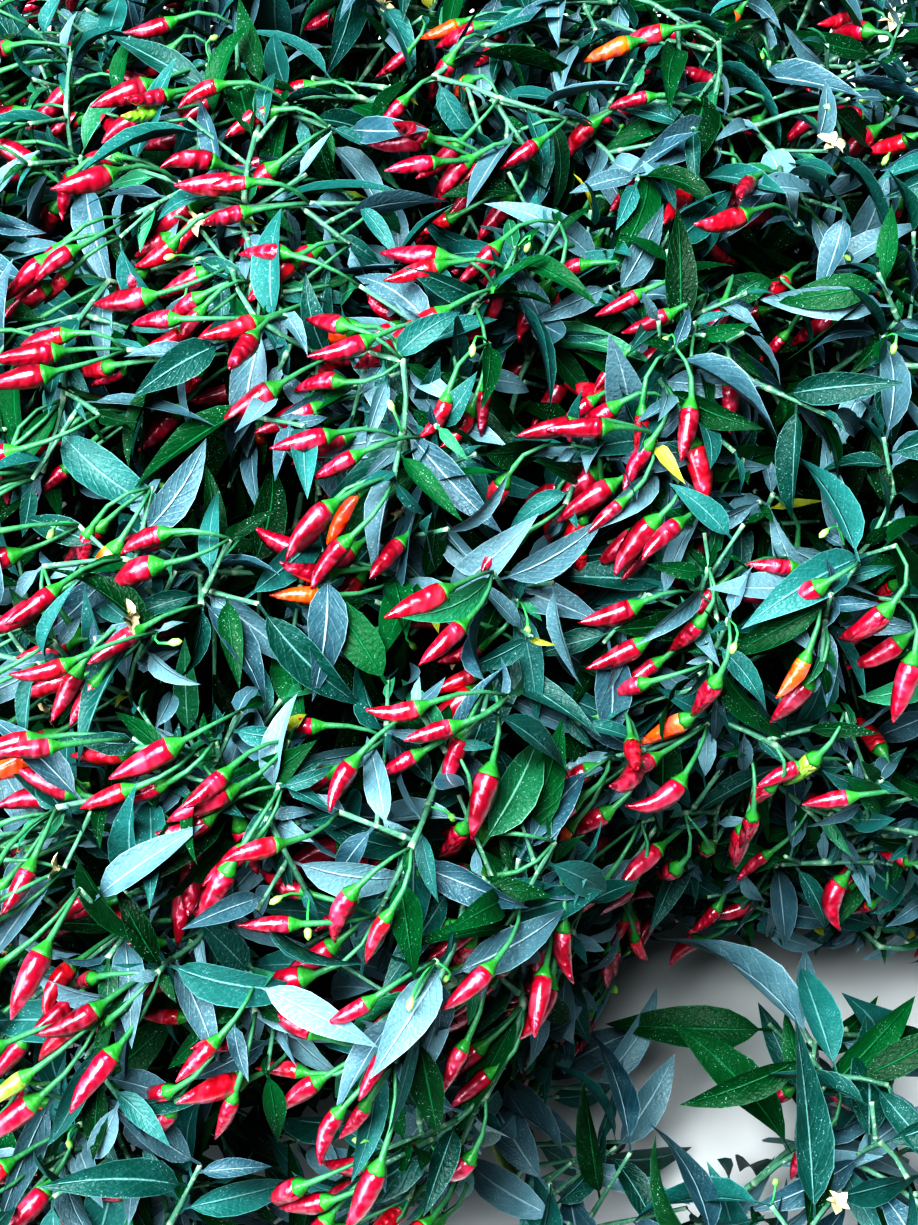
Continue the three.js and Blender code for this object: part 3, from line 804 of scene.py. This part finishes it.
def growLeaves():
    chance = np.random.default_rng(41)
    leaves = leavesInside(standLeaves(chance), chance)
    order = finishOf(leaves, chance)
    tone = chance.random(len(order))
    for i, (name, finish) in enumerate(leafFinishes.items()):
        dark, light, vein = (hexColour(colour) for colour in finish[:3])
        material = leafMaterial("waxy_" + name, dark, light, vein, finish[3])
        sizes = ("broad", "fineRows", ~leaves["young"]), ("small", "coarseRows", leaves["young"])
        for size, rows, suits in sizes:
            mine = (order == i) & suits
            rows = leaf[rows if i else "shadeRows"]
            if mine.any():
                bladePiece(f"{name}_{size}", picked(leaves, mine), rows, material, tone[mine])
    print("leaves:", len(order), "by finish", np.bincount(order))


growLeaves()

# Stems: the green twigs, and the trunk and boughs with their bark. Blotches, cork and relief are mm.
wood = {
    "twigSides": 5, "twigSteps": 2, "swell": 1.3, "nodes": 0.09,
    "boughSides": 12, "boughSteps": 22, "trunkSides": 28, "trunkSteps": 40,
    "blotch": 9, "cork": 2.4, "relief": 0.6,
}
boughRelief = {"ribs": 0.05, "sway": 0.04}
barkRelief = {"ridges": 9, "depth": 0.07, "knots": 0.05}
# each finish: dark, light, its scars, ridges round the stem, and how pale its nodes are
stemFinishes = {
    "green_twig": ("#246048", "#68967e", "#aabea4", 5, 0.7),
    "young_bark": ("#5c7340", "#8aa566", "#b3a98c", 7, 0.0),
    "grey_bark": ("#5d5640", "#8c8467", "#b7ad94", 9, 0.0),
}


def woodMaterial(name):
    # green pepper stem turning to soft bark: lengthwise ridges, blotches, pale corky scars and paler nodes
    *colours, ridges, nodes = stemFinishes[name]
    dark, light, scar = (hexColour(colour) for colour in colours)
    material, tree, shader = startMaterial(name, IOR=1.45)
    place = addNode(tree, "TexCoord", output="Object")
    surface = addNode(tree, "UVMap", uv_map="surface")
    blotch = addNode(tree, "TexNoise", {"Vector": place, "Scale": perMetre(wood["blotch"]), "Detail": 3.0})
    cork = addNode(tree, "TexNoise", {"Vector": place, "Scale": perMetre(wood["cork"]), "Detail": 2.0})
    stretched = addNode(tree, "Mapping", {0: surface, "Scale": (ridges, 1.5, 1.0)})
    grain = addNode(tree, "TexNoise", {"Vector": stretched, "Scale": 1.0, "Detail": 2.0})
    body = addNode(tree, "Mix", {0: blotch, 6: dark, 7: light}, 2, data_type="RGBA")
    corky = addNode(tree, "MapRange", {0: cork, 1: 0.62, 2: 0.72, 3: 0.0, 4: 0.8})
    v = addNode(tree, "SeparateXYZ", {0: surface}, "Y")
    fromNode = addNode(tree, "Math", {0: v, 1: 0.5}, operation="PINGPONG")
    node = addNode(tree, "MapRange", {0: fromNode, 1: 0.0, 2: wood["nodes"], 3: nodes, 4: 0.0})
    pale = addNode(tree, "Math", {0: corky, 1: node}, operation="MAXIMUM")
    colour = addNode(tree, "Mix", {0: pale, 6: body, 7: scar}, 2, data_type="RGBA")
    roughness = addNode(tree, "MapRange", {0: blotch, 1: 0.3, 2: 0.7, 3: 0.45, 4: 0.65})
    height = addNode(tree, "Math", {0: grain, 1: cork}, operation="ADD")
    finishMaterial(tree, shader, colour, roughness, height, wood["relief"])
    return material


def throughPoints(points, steps):
    # Catmull-Rom curves through rows of points (copies, points, 3), with so many steps between two points
    ends = np.stack([2 * points[:, 0] - points[:, 1], 2 * points[:, -1] - points[:, -2]], 1)
    p = np.concatenate([ends[:, :1], points, ends[:, 1:]], 1)[:, :, None]
    a, b, c, d = p[:, :-3], p[:, 1:-2], p[:, 2:-1], p[:, 3:]
    t = np.linspace(0, 1, steps, endpoint=False)[:, None]
    square, cube = 2 * a - 5 * b + 4 * c - d, 3 * b - a - 3 * c + d
    line = 0.5 * (2 * b + (c - a) * t + square * t ** 2 + cube * t ** 3)
    return np.concatenate([line.reshape(len(points), -1, 3), points[:, -1:]], 1)


def twigTubes(some):
    # points, faces and surface coordinates of these runs, which swell at their nodes
    parts = []
    for size in sorted({len(run["points"]) for run in some}):
        same = [run for run in some if len(run["points"]) == size]
        line = throughPoints(np.array([run["points"] for run in same]), wood["twigSteps"])
        stops = np.linspace(0, size - 1, line.shape[1])
        radii = np.array([np.interp(stops, np.arange(size), run["radii"]) for run in same])
        joint = np.where(np.abs(stops - np.round(stops)) < 1e-6, wood["swell"], 1)
        points, faces, uv = tubes(sweep(line, radii * joint, wood["twigSides"]))
        parts.append((points, faces, uv * [1, size - 1]))
    return joined(parts)


def boughTubes(chance):
    # round stems with five low ribs and a sway: 1 + 0.05 sin(5a + 3t) + 0.04 sin(2a + 9t), turned at random
    a = around(wood["boughSides"])
    t = np.linspace(0, 1, wood["boughSteps"])
    line = np.array([bezier(*bough["curve"], t) for bough in boughs])
    radii = np.array([np.interp(t, (0, 1), bough["radii"]) for bough in boughs])
    phase = chance.uniform(0, fullTurn, (len(boughs), 1, 1))
    ribs = boughRelief["ribs"] * np.sin(5 * a + phase + 3 * t[:, None])
    sway = boughRelief["sway"] * np.sin(2 * a - phase + 9 * t[:, None])
    return tubes(sweep(line, radii[..., None] * (1 + ribs + sway), wood["boughSides"]))


def trunkTube():
    # a tapering stem from its flared foot, times 1 + wandering bark ridges + knots, flat on the ground
    a = around(wood["trunkSides"])
    t = np.linspace(0, 1, wood["trunkSteps"])
    flare, foot, tip = trunk["flare"], trunk["foot"], trunk["tip"]
    radii = (flare, flare * 0.3 + foot * 0.7, foot, (foot + tip) / 2, tip)
    profile = np.interp(t, (0, 0.08, 0.22, 0.6, 1), radii)
    ridges = np.sin(barkRelief["ridges"] * a + 2.5 * np.sin(4 * t[:, None]))
    knots = np.sin(3 * a + 11 * t[:, None]) * np.sin(17 * t[:, None] + a)
    relief = 1 + barkRelief["depth"] * ridges + barkRelief["knots"] * knots
    rings = sweep(bezier(*stem["curve"], t)[None], (profile[:, None] * relief)[None], wood["trunkSides"])
    rings[:, 0, :, 2] = 0
    return tubes(rings)


def growStems():
    green = woodMaterial("green_twig")
    makePiece("green_twigs", twigTubes(runs[:forkedRuns]), green, foliageNodes)
    makePiece("green_shoots", twigTubes(runs[forkedRuns:]), green, foliageNodes)
    boughNodes = [bough["name"] for bough in boughs]
    surface = boughTubes(np.random.default_rng(7))
    makePiece("boughs", surface, woodMaterial("young_bark"), boughNodes)
    makePiece("trunk_bark", trunkTube(), woodMaterial("grey_bark"), ["trunk"])
    print("stems made:", len(runs), "runs of twigs and", 1 + len(boughs), "limbs")


growStems()

# Fruits, each on a long stalk that widens into a green cup over its shoulder.
fruit = {
    "chance": (0, 0, 0.6, 0.9, 0.97, 0.95, 0.9, 0, 0.42),  # for the end of a twig of each level
    "more": (0.8, 0.45), "across": 250, "fewest": 0.46,  # more to the left and the front
    "shade": (60, 205, 0.25), "inner": 0.5, "lowShoot": 0.35,  # fewer low down, none deep inside
    "cluster": (0.1, 0.35),  # shares of the ends with one and with two fruits, where others have three
    "sparseBeyond": (100, 80), "sparse": 1,
    "stalk": (22, 36), "length": (18, 27), "slim": (0.17, 0.2), "bend": 0.5,
    "hang": np.array([-0.62, -0.25, -0.5]), "leftHang": np.array([-0.25, 0.05, 0.15]), "outward": 0.15,
    "stray": 0.32, "ownStray": 0.16, "spread": 0.6, "lift": 0.75, "from": np.array([0, 0, 120]),
    "turn": 2.1, "first": 0.6, "firstStray": 0.1, "bow": (0.55, 0.5), "leastBend": 0.05,
    "reach": 14, "edge": 1.22, "room": 0.95, "crowdReach": 30, "crowd": 6,
    "columns": 7, "rows": (0.0, 0.07, 0.2, 0.36, 0.52, 0.68, 0.82, 0.93, 1.0), "shoulder": 0.12,
    "dents": (0.07, 0.05, 0.06),  # shares of the radius: in threes, in twos and in waves
}
stalk = {
    "radius": (0.75, 1.4), "steps": 4, "columns": 6,
    "seat": 4.2,  # the fruit's own axis starts this deep in the cup
    "blotch": 8, "grain": 1.4, "relief": 0.3,  # mm, with the grain drawn coarser than it is, to show
    "cup": ((0.6, 0.38), (2.2, 0.56), (3.9, 0.76), (5.4, 0.93), (5.1, 0.6)),  # depth, share of its radius
    "colours": ("#1e663c", "#589270", "#187030", "#46963e"),  # dark and light of the stalk, and of the cup
}
# the skin's dark and bright, the brighter shoulder by the cup, which is painted light on the top of the
# hanging fruit, and how many fruits take the finish
fruitFinishes = {
    "fruit_crimson": ("#6c0018", "#b00238", "#c81646", 0.7),
    "fruit_scarlet": ("#8e001a", "#cc0a32", "#e03834", 0.23),
    "fruit_orange": ("#d84008", "#f4681c", "#f8a028", 0.045),
    "fruit_green": ("#5fa628", "#8fcc44", "#c0dc6a", 0.02),
}
skin = {
    "wrinkles": (3.0, 6.4),  # how many round and along each fruit
    "apart": 25,  # mm between fruits whose wrinkles differ wholly
    # the crest colour and its share are a painted pink highlight on the wrinkle crests
    "blush": 7, "relief": 3, "paintedHighlightShare": 0.2, "paintedCrestHighlight": "#f08aa8", "sheen": "#ffb0c4",
}


def fruitMaterial(name, deep, bright, shoulder):
    # ripe pepper skin, thin and waxed: glossy under a clear coat, wrinkled, with painted pink highlights on
    # the crests, and painted light, a brighter shoulder, at the cup
    plain = {
        "IOR": 1.5, "Specular_IOR_Level": 1.0, "Specular_Tint": hexColour(skin["sheen"]),
        "Coat_Weight": 0.9, "Coat_Roughness": 0.22, "Coat_IOR": 1.6,
    }
    material, tree, shader = startMaterial(name, **plain)
    place = addNode(tree, "TexCoord", output="Object")
    surface = addNode(tree, "UVMap", uv_map="surface")
    v = addNode(tree, "SeparateXYZ", {0: surface}, "Y")
    tone = addNode(tree, "Attribute", output="Fac", attribute_name="tone")
    blush = addNode(tree, "TexNoise", {"Vector": place, "Scale": perMetre(skin["blush"]), "Detail": 2.0})
    stretched = addNode(tree, "Mapping", {0: surface, "Scale": (*skin["wrinkles"], 1.0)})
    shifted = addNode(tree, "VectorMath", {0: place, "Scale": perMetre(skin["apart"])}, operation="SCALE")
    varied = addNode(tree, "VectorMath", {0: stretched, 1: shifted}, operation="ADD")
    wrinkle = addNode(tree, "TexNoise", {"Vector": varied, "Scale": 1.0, "Detail": 1.0})
    share = addNode(tree, "Math", {0: blush, 1: 0.9, 2: tone}, operation="MULTIPLY_ADD")
    half = addNode(tree, "Math", {0: share, 1: 0.55}, operation="MULTIPLY", use_clamp=True)
    body = addNode(tree, "Mix", {0: half, 6: deep, 7: bright}, 2, data_type="RGBA")
    # painted light: the shoulder by the cup, the top of the hanging fruit, is mixed towards the brighter
    # colour
    top = addNode(tree, "MapRange", {0: v, 1: 0.08, 2: 0.3, 3: 0.45, 4: 0.0})
    lit = addNode(tree, "Mix", {0: top, 6: body, 7: shoulder}, 2, data_type="RGBA")
    # painted highlight: pink mixed onto the wrinkle crests
    paintedCrestHighlight = addNode(tree, "MapRange", {0: wrinkle, 1: 0.5, 2: 0.68, 3: 0.0, 4: skin["paintedHighlightShare"]})
    colour = addNode(tree, "Mix", {0: paintedCrestHighlight, 6: lit, 7: hexColour(skin["paintedCrestHighlight"])}, 2, data_type="RGBA")
    roughness = addNode(tree, "MapRange", {0: blush, 1: 0.3, 2: 0.7, 3: 0.26, 4: 0.42})
    finishMaterial(tree, shader, colour, roughness, wrinkle, skin["relief"])
    return material


def stalkMaterial():
    # fruit stalk and cup: smooth green skin, bluish on the stalk and a fuller green where the cup swells
    material, tree, shader = startMaterial("stalk_and_cup", IOR=1.45)
    place = addNode(tree, "TexCoord", output="Object")
    v = addNode(tree, "SeparateXYZ", {0: addNode(tree, "UVMap", uv_map="surface")}, "Y")
    blotch = addNode(tree, "TexNoise", {"Vector": place, "Scale": perMetre(stalk["blotch"]), "Detail": 2.0})
    grain = addNode(tree, "TexNoise", {"Vector": place, "Scale": perMetre(stalk["grain"]), "Detail": 1.0})
    dark, light, cupDark, cupLight = (hexColour(colour) for colour in stalk["colours"])
    slender = addNode(tree, "Mix", {0: blotch, 6: dark, 7: light}, 2, data_type="RGBA")
    swollen = addNode(tree, "Mix", {0: blotch, 6: cupDark, 7: cupLight}, 2, data_type="RGBA")
    along = addNode(tree, "MapRange", {0: v, 1: 0.25, 2: 0.6})
    colour = addNode(tree, "Mix", {0: along, 6: slender, 7: swollen}, 2, data_type="RGBA")
    roughness = addNode(tree, "MapRange", {0: blotch, 1: 0.3, 2: 0.7, 3: 0.35, 4: 0.5})
    finishMaterial(tree, shader, colour, roughness, grain, stalk["relief"])
    return material


def fruitingEnds(chance):
    # the twig ends that bear fruits, and how many each, by level, side, height and depth in the crown
    ends, level = allTwigs["end"], allTwigs["level"]
    towards = np.clip(-ends[:, :2] / fruit["across"], -1, 1)
    likely = np.maximum(1 + towards @ np.array(fruit["more"]), fruit["fewest"])
    likely = np.array(fruit["chance"])[level] * likely
    lower, upper, least = fruit["shade"]
    likely = likely * np.interp(ends[:, 2], (lower, upper), (least, 1))
    likely = likely * np.where(allTwigs["mass"] == lowNumber, fruit["lowShoot"], 1)
    drawn = chance.random(len(ends)) < likely
    bearing = np.flatnonzero(drawn & (fillOf(ends, np.arange(len(ends))) > fruit["inner"]))
    count = 1 + (chance.random((len(bearing), 1)) > np.cumsum(fruit["cluster"])).sum(axis=1)
    sparse = (ends[bearing, :2] > fruit["sparseBeyond"]).any(axis=1)
    return bearing, np.where(sparse, np.minimum(count, fruit["sparse"]), count)


def hangFruits(bearing, count, chance):
    # a stalk leaves the twig's end outwards and bows over, and the fruit hangs on from it along an arc:
    # the axis runs as sin(k t) / k down and (1 - cos(k t)) / k aside
    total, clusters = int(count.sum()), len(bearing)
    which = np.repeat(bearing, count)
    number = np.arange(total) - np.repeat(np.cumsum(count) - count, count)
    base = allTwigs["end"][which]
    leftward = np.clip(-base[:, :1] / fruit["across"], 0, 1)
    shared = np.repeat(chance.normal(0, fruit["stray"], (clusters, 3)), count, axis=0)
    hang = fruit["hang"] + fruit["leftHang"] * leftward + unit(base * inPlan) * fruit["outward"] + shared
    hang = unit(hang + chance.normal(0, fruit["ownStray"], (total, 3)))
    spin = number * fruit["turn"] + np.repeat(chance.uniform(0, fullTurn, clusters), count)
    apart = acrossAt(hang, spin) * fruit["spread"]
    outward = unit(base - fruit["from"]) * fruit["lift"]
    first = hang * fruit["first"] + outward + apart
    first = unit(first + chance.normal(0, fruit["firstStray"], (total, 3)))
    reach = chance.uniform(*fruit["stalk"], (total, 1))
    length = chance.uniform(*fruit["length"], total)
    radius = length * chance.uniform(*fruit["slim"], total)
    out, over = fruit["bow"]
    middle = base + first * reach * out
    end = middle + hang * reach * over

    t = np.array(fruit["rows"])[:, None]
    bend = chance.normal(0, fruit["bend"], (total, 1, 1))
    bend = np.where(np.abs(bend) < fruit["leastBend"], fruit["leastBend"], bend)
    aside = acrossAt(hang, chance.uniform(0, fullTurn, total))
    size = length[:, None, None]
    line = end[:, None] + hang[:, None] * (stalk["seat"] + size * np.sin(bend * t) / bend)
    line = line + aside[:, None] * size * (1 - np.cos(bend * t)) / bend
    return dict(which=which, base=base, middle=middle, end=end, hang=hang, line=line, radius=radius)


def uncrowded(hung):
    # leaves out a fruit that reaches out of the crown, would run into an earlier one, or hangs in a crowd
    line, radius = hung["line"], hung["radius"]
    keep = insideBox(line, fruit["reach"]) & (fillOf(line, hung["which"]).max(axis=1) < fruit["edge"])
    core = line[:, len(fruit["rows"]) // 2]
    gap = np.linalg.norm(core[:, None] - core[None], axis=-1)
    near = gap < (radius[:, None] + radius[None]) * fruit["room"]
    keep &= ~(np.tril(near, -1) & keep[None]).any(axis=1)
    crowd = (np.tril(gap < fruit["crowdReach"], -1) & keep[None]).sum(axis=1)
    return picked(hung, keep & (crowd < fruit["crowd"]))


def fruitRings(hung, chance):
    # radius: a rounded shoulder, then (1 - x^2.2)^0.8 down to a blunt tip, times 1 + dents that run
    # lengthwise in threes and twos and across in waves, and fade out towards the shoulder
    t = np.array(fruit["rows"])
    rounding = np.sqrt(np.clip(1 - (1 - t / fruit["shoulder"]) ** 2, 0.25, 1))
    tip = (1 - np.clip((t - 0.1) / 0.9, 0, 1) ** 2.2) ** 0.8
    profile = np.where(t < fruit["shoulder"], rounding, 1) * np.maximum(tip, 0.1)
    a = around(fruit["columns"])
    first, second, third = np.moveaxis(chance.uniform(0, fullTurn, (len(hung["base"]), 3, 1, 1)), 1, 0)
    t = t[:, None]
    threes, twos, waves = fruit["dents"]
    dents = threes * np.sin(3 * a + first + 2.5 * t) + twos * np.sin(2 * a + second - 5 * t)
    dents = dents + waves * np.sin(13 * t + third) * np.sin(a + first)
    dents = dents * np.clip((t - fruit["shoulder"]) / 0.2, 0, 1)
    reach = hung["radius"][:, None, None] * profile[:, None] * (1 + dents)
    return sweep(hung["line"], reach, fruit["columns"])


def stalkTubes(hung):
    # the stalk thickens by t^2 on its way, then flares into the cup and turns in under its own rim
    t = np.linspace(0, 1, stalk["steps"])
    way = bezier(hung["base"][:, None], hung["middle"][:, None], hung["end"][:, None], t)
    depth, wide = np.array(stalk["cup"]).T
    cup = hung["end"][:, None] + hung["hang"][:, None] * depth[:, None]
    thin, thick = stalk["radius"]
    reach = np.tile(thin + (thick - thin) * t ** 2, (len(way), 1))
    reach = np.concatenate([reach, hung["radius"][:, None] * wide], 1)
    return tubes(sweep(np.concatenate([way, cup], 1), reach, stalk["columns"]))


def growFruits():
    chance = np.random.default_rng(23)
    bearing, count = fruitingEnds(chance)
    hung = uncrowded(hangFruits(bearing, count, chance))
    rings = fruitRings(hung, chance)
    total = len(rings)
    weights = np.cumsum([finish[3] for finish in fruitFinishes.values()])
    order = (chance.random((total, 1)) * weights[-1] > weights).sum(axis=1)
    tone = np.repeat(chance.random(total)[:, None], rings.shape[1] * rings.shape[2] + 2, axis=1)
    for i, (name, finish) in enumerate(fruitFinishes.items()):
        mine = order == i
        material = fruitMaterial("glossy_" + name, *(hexColour(colour) for colour in finish[:3]))
        makePiece(name, tubes(rings[mine]), material, foliageNodes, tone[mine].ravel())
    makePiece("stalks_and_cups", stalkTubes(hung), stalkMaterial(), foliageNodes)
    print("fruits:", total)


growFruits()

# Buds on short hooked stalks, and blossoms that have withered on them.
bud = {
    "share": 0.09, "above": 3, "stalk": (9, 16), "out": 0.8, "down": 0.45, "stray": 0.5, "reach": 10,
    "stalkRadius": (0.42, 0.62), "steps": 4, "columns": 5, "outward": 0.7, "onward": 0.4,
    "grain": 1.5, "relief": 0.2,  # mm, drawn coarser than the real grain, to show
    "body": ((0.6, 0.9), (2.0, 1.6), (4.4, 1.4), (5.6, 0.25)),  # depth and radius of each ring
    "colours": ("#3fa45a", "#a8dc78"),
}
dryFlower = {
    "share": 0.02, "petals": 5, "length": (5, 9), "slim": 0.5, "opening": (0.5, 1.3), "away": 3,
    "stray": 0.6, "upwards": 0.3, "lean": 0.3,
    "crease": 1.2, "relief": 0.3,  # mm, drawn coarser than real creases, to show
    "colours": ("#a88f5c", "#efe6c4"),
}


def budMaterial():
    # pepper bud: green stalk, then a smooth yellow-green body that pales to its tip
    material, tree, shader = startMaterial("flower_bud", Roughness=0.45)
    v = addNode(tree, "SeparateXYZ", {0: addNode(tree, "UVMap", uv_map="surface")}, "Y")
    place = addNode(tree, "TexCoord", output="Object")
    grain = addNode(tree, "TexNoise", {"Vector": place, "Scale": perMetre(bud["grain"])})
    along = addNode(tree, "MapRange", {0: v, 1: 0.35, 2: 0.75})
    green, pale = (hexColour(colour) for colour in bud["colours"])
    body = addNode(tree, "Mix", {0: along, 6: green, 7: pale}, 2, data_type="RGBA")
    roughness = addNode(tree, "MapRange", {0: grain, 1: 0.3, 2: 0.7, 3: 0.4, 4: 0.55})
    finishMaterial(tree, shader, body, roughness, grain, bud["relief"])
    return material


def petalMaterial():
    # withered pepper petal: thin, matt and creased, mottled cream and brown with its creases
    material, tree, shader = startMaterial("dry_petal", IOR=1.4)
    place = addNode(tree, "TexCoord", output="Object")
    scale = perMetre(dryFlower["crease"])
    crease = addNode(tree, "TexNoise", {"Vector": place, "Scale": scale, "Detail": 3.0})
    brown, cream = (hexColour(colour) for colour in dryFlower["colours"])
    colour = addNode(tree, "Mix", {0: crease, 6: brown, 7: cream}, 2, data_type="RGBA")
    roughness = addNode(tree, "MapRange", {0: crease, 3: 0.6, 4: 0.85})
    finishMaterial(tree, shader, colour, roughness, crease, dryFlower["relief"])
    return material


def flowering(share, chance):
    # a share of the finer twigs, spurs left out
    fine = (allTwigs["level"] > bud["above"]) & (allTwigs["level"] != spur["level"])
    return np.flatnonzero(fine & (chance.random(len(twigs)) < share))


def growBuds(chance):
    # one or two to a twig: a stalk that goes out and hooks down, then a body of a few rings
    ends = flowering(bud["share"], chance)
    ends = np.repeat(ends, chance.integers(1, 3, len(ends)))
    base, n = allTwigs["end"][ends], len(ends)
    first = unit(unit(base) * bud["outward"] + chance.normal(0, bud["stray"], (n, 3)))
    down = unit(chance.normal(0, bud["stray"], (n, 3)) - upward + first * bud["onward"])
    reach = chance.uniform(*bud["stalk"], (n, 1))
    middle = base + first * reach * bud["out"]
    end = middle + down * reach * bud["down"]
    t = np.linspace(0, 1, bud["steps"])
    depth, wide = np.array(bud["body"]).T
    body = end[:, None] + down[:, None] * depth[:, None]
    line = np.concatenate([bezier(base[:, None], middle[:, None], end[:, None], t), body], 1)
    thin, thick = bud["stalkRadius"]
    radii = np.tile(np.concatenate([thin + (thick - thin) * t, wide]), (n, 1))
    keep = insideBox(line, bud["reach"])
    surface = tubes(sweep(line[keep], radii[keep], bud["columns"]))
    makePiece("buds", surface, budMaterial(), foliageNodes)


def growDryBlossoms(chance):
    # five small blades round a way that points up and out
    dry = flowering(dryFlower["share"], chance)
    petals, ends = dryFlower["petals"], allTwigs["end"][dry]
    root = np.repeat(ends + unit(ends) * dryFlower["away"], petals, axis=0)
    way = chance.normal(0, dryFlower["stray"], (len(dry), 3)) + upward * dryFlower["upwards"]
    way = unit(way + unit(ends))
    way = np.repeat(way, petals, axis=0)
    n = len(way)
    spin = np.tile(around(petals), len(dry))
    along = opened(way, acrossAt(way, spin), chance.uniform(*dryFlower["opening"], n))
    length = chance.uniform(*dryFlower["length"], n)
    lean = way + chance.normal(0, dryFlower["lean"], (n, 3))
    habit = bladeHabit(root, along, lean, length, np.full(n, dryFlower["slim"]), chance)
    bladePiece("dry_blossoms", habit, leaf["coarseRows"], petalMaterial(), chance.random(n))


budChance = np.random.default_rng(61)
growBuds(budChance)
growDryBlossoms(budChance)

# The floor and the light of a plain bright studio, in metres.
studio = {
    "floor": ("#cacccb", "#cfd1cf"), "side": 6.0, "room": "#dfeaf2", "sky": 0.18, "backdrop": 0.9,
    "aim": (0, -0.1, 0.2),
    "lamps": {
        # size, watts, place and colour
        "soft_light_above": (1.2, 124, (-0.55, -0.32, 2.44), (0.93, 0.97, 1.0)),
        "soft_light_left": (1.0, 28, (-1.25, -0.75, 1.1), (0.92, 0.9, 1.0)),
    },
}


def layFloor():
    # painted floor: matt and pale, with faint wide clouds
    material, tree, shader = startMaterial("painted_floor", Roughness=0.7)
    place = addNode(tree, "TexCoord", output="Object")
    cloud = addNode(tree, "TexNoise", {"Vector": place, "Scale": 3.0})
    dark, light = (hexColour(colour) for colour in studio["floor"])
    colour = addNode(tree, "Mix", {0: cloud, 6: dark, 7: light}, 2, data_type="RGBA")
    tree.links.new(colour, shader.inputs["Base Color"])
    side = studio["side"] / 2
    mesh = bpy.data.meshes.new("floor")
    corners = [(-side, -side, 0), (side, -side, 0), (side, side, 0), (-side, side, 0)]
    mesh.from_pydata(corners, [], [(0, 1, 2, 3)])
    mesh.materials.append(material)
    floor = bpy.data.objects.new("floor", mesh)
    bpy.context.scene.collection.objects.link(floor)


def hangLamps():
    for name, (size, watts, place, colour) in studio["lamps"].items():
        light = bpy.data.lights.new(name, "AREA")
        light.size = size
        light.energy = watts
        light.color = colour
        holder = bpy.data.objects.new(name, light)
        holder.location = place
        aim = Vector(studio["aim"]) - holder.location
        holder.rotation_euler = aim.to_track_quat("-Z", "Y").to_euler()
        bpy.context.scene.collection.objects.link(holder)


def lightRoom():
    # the room looks bright, but lights the bush weakly, so that its inside stays dark
    world = bpy.data.worlds.new("room")
    world.use_nodes = True
    seen = addNode(world.node_tree, "LightPath", output="Is Camera Ray")
    strength = addNode(world.node_tree, "MapRange", {0: seen, 3: studio["sky"], 4: studio["backdrop"]})
    backdrop = world.node_tree.nodes["Background"]
    backdrop.inputs["Color"].default_value = hexColour(studio["room"])
    world.node_tree.links.new(strength, backdrop.inputs["Strength"])
    bpy.context.scene.world = world
    bpy.context.scene.view_settings.view_transform = "Standard"
    bpy.context.scene.view_settings.look = "Very High Contrast"


layFloor()
hangLamps()
lightRoom()
print("studio lit by", len(studio["lamps"]), "lamps")
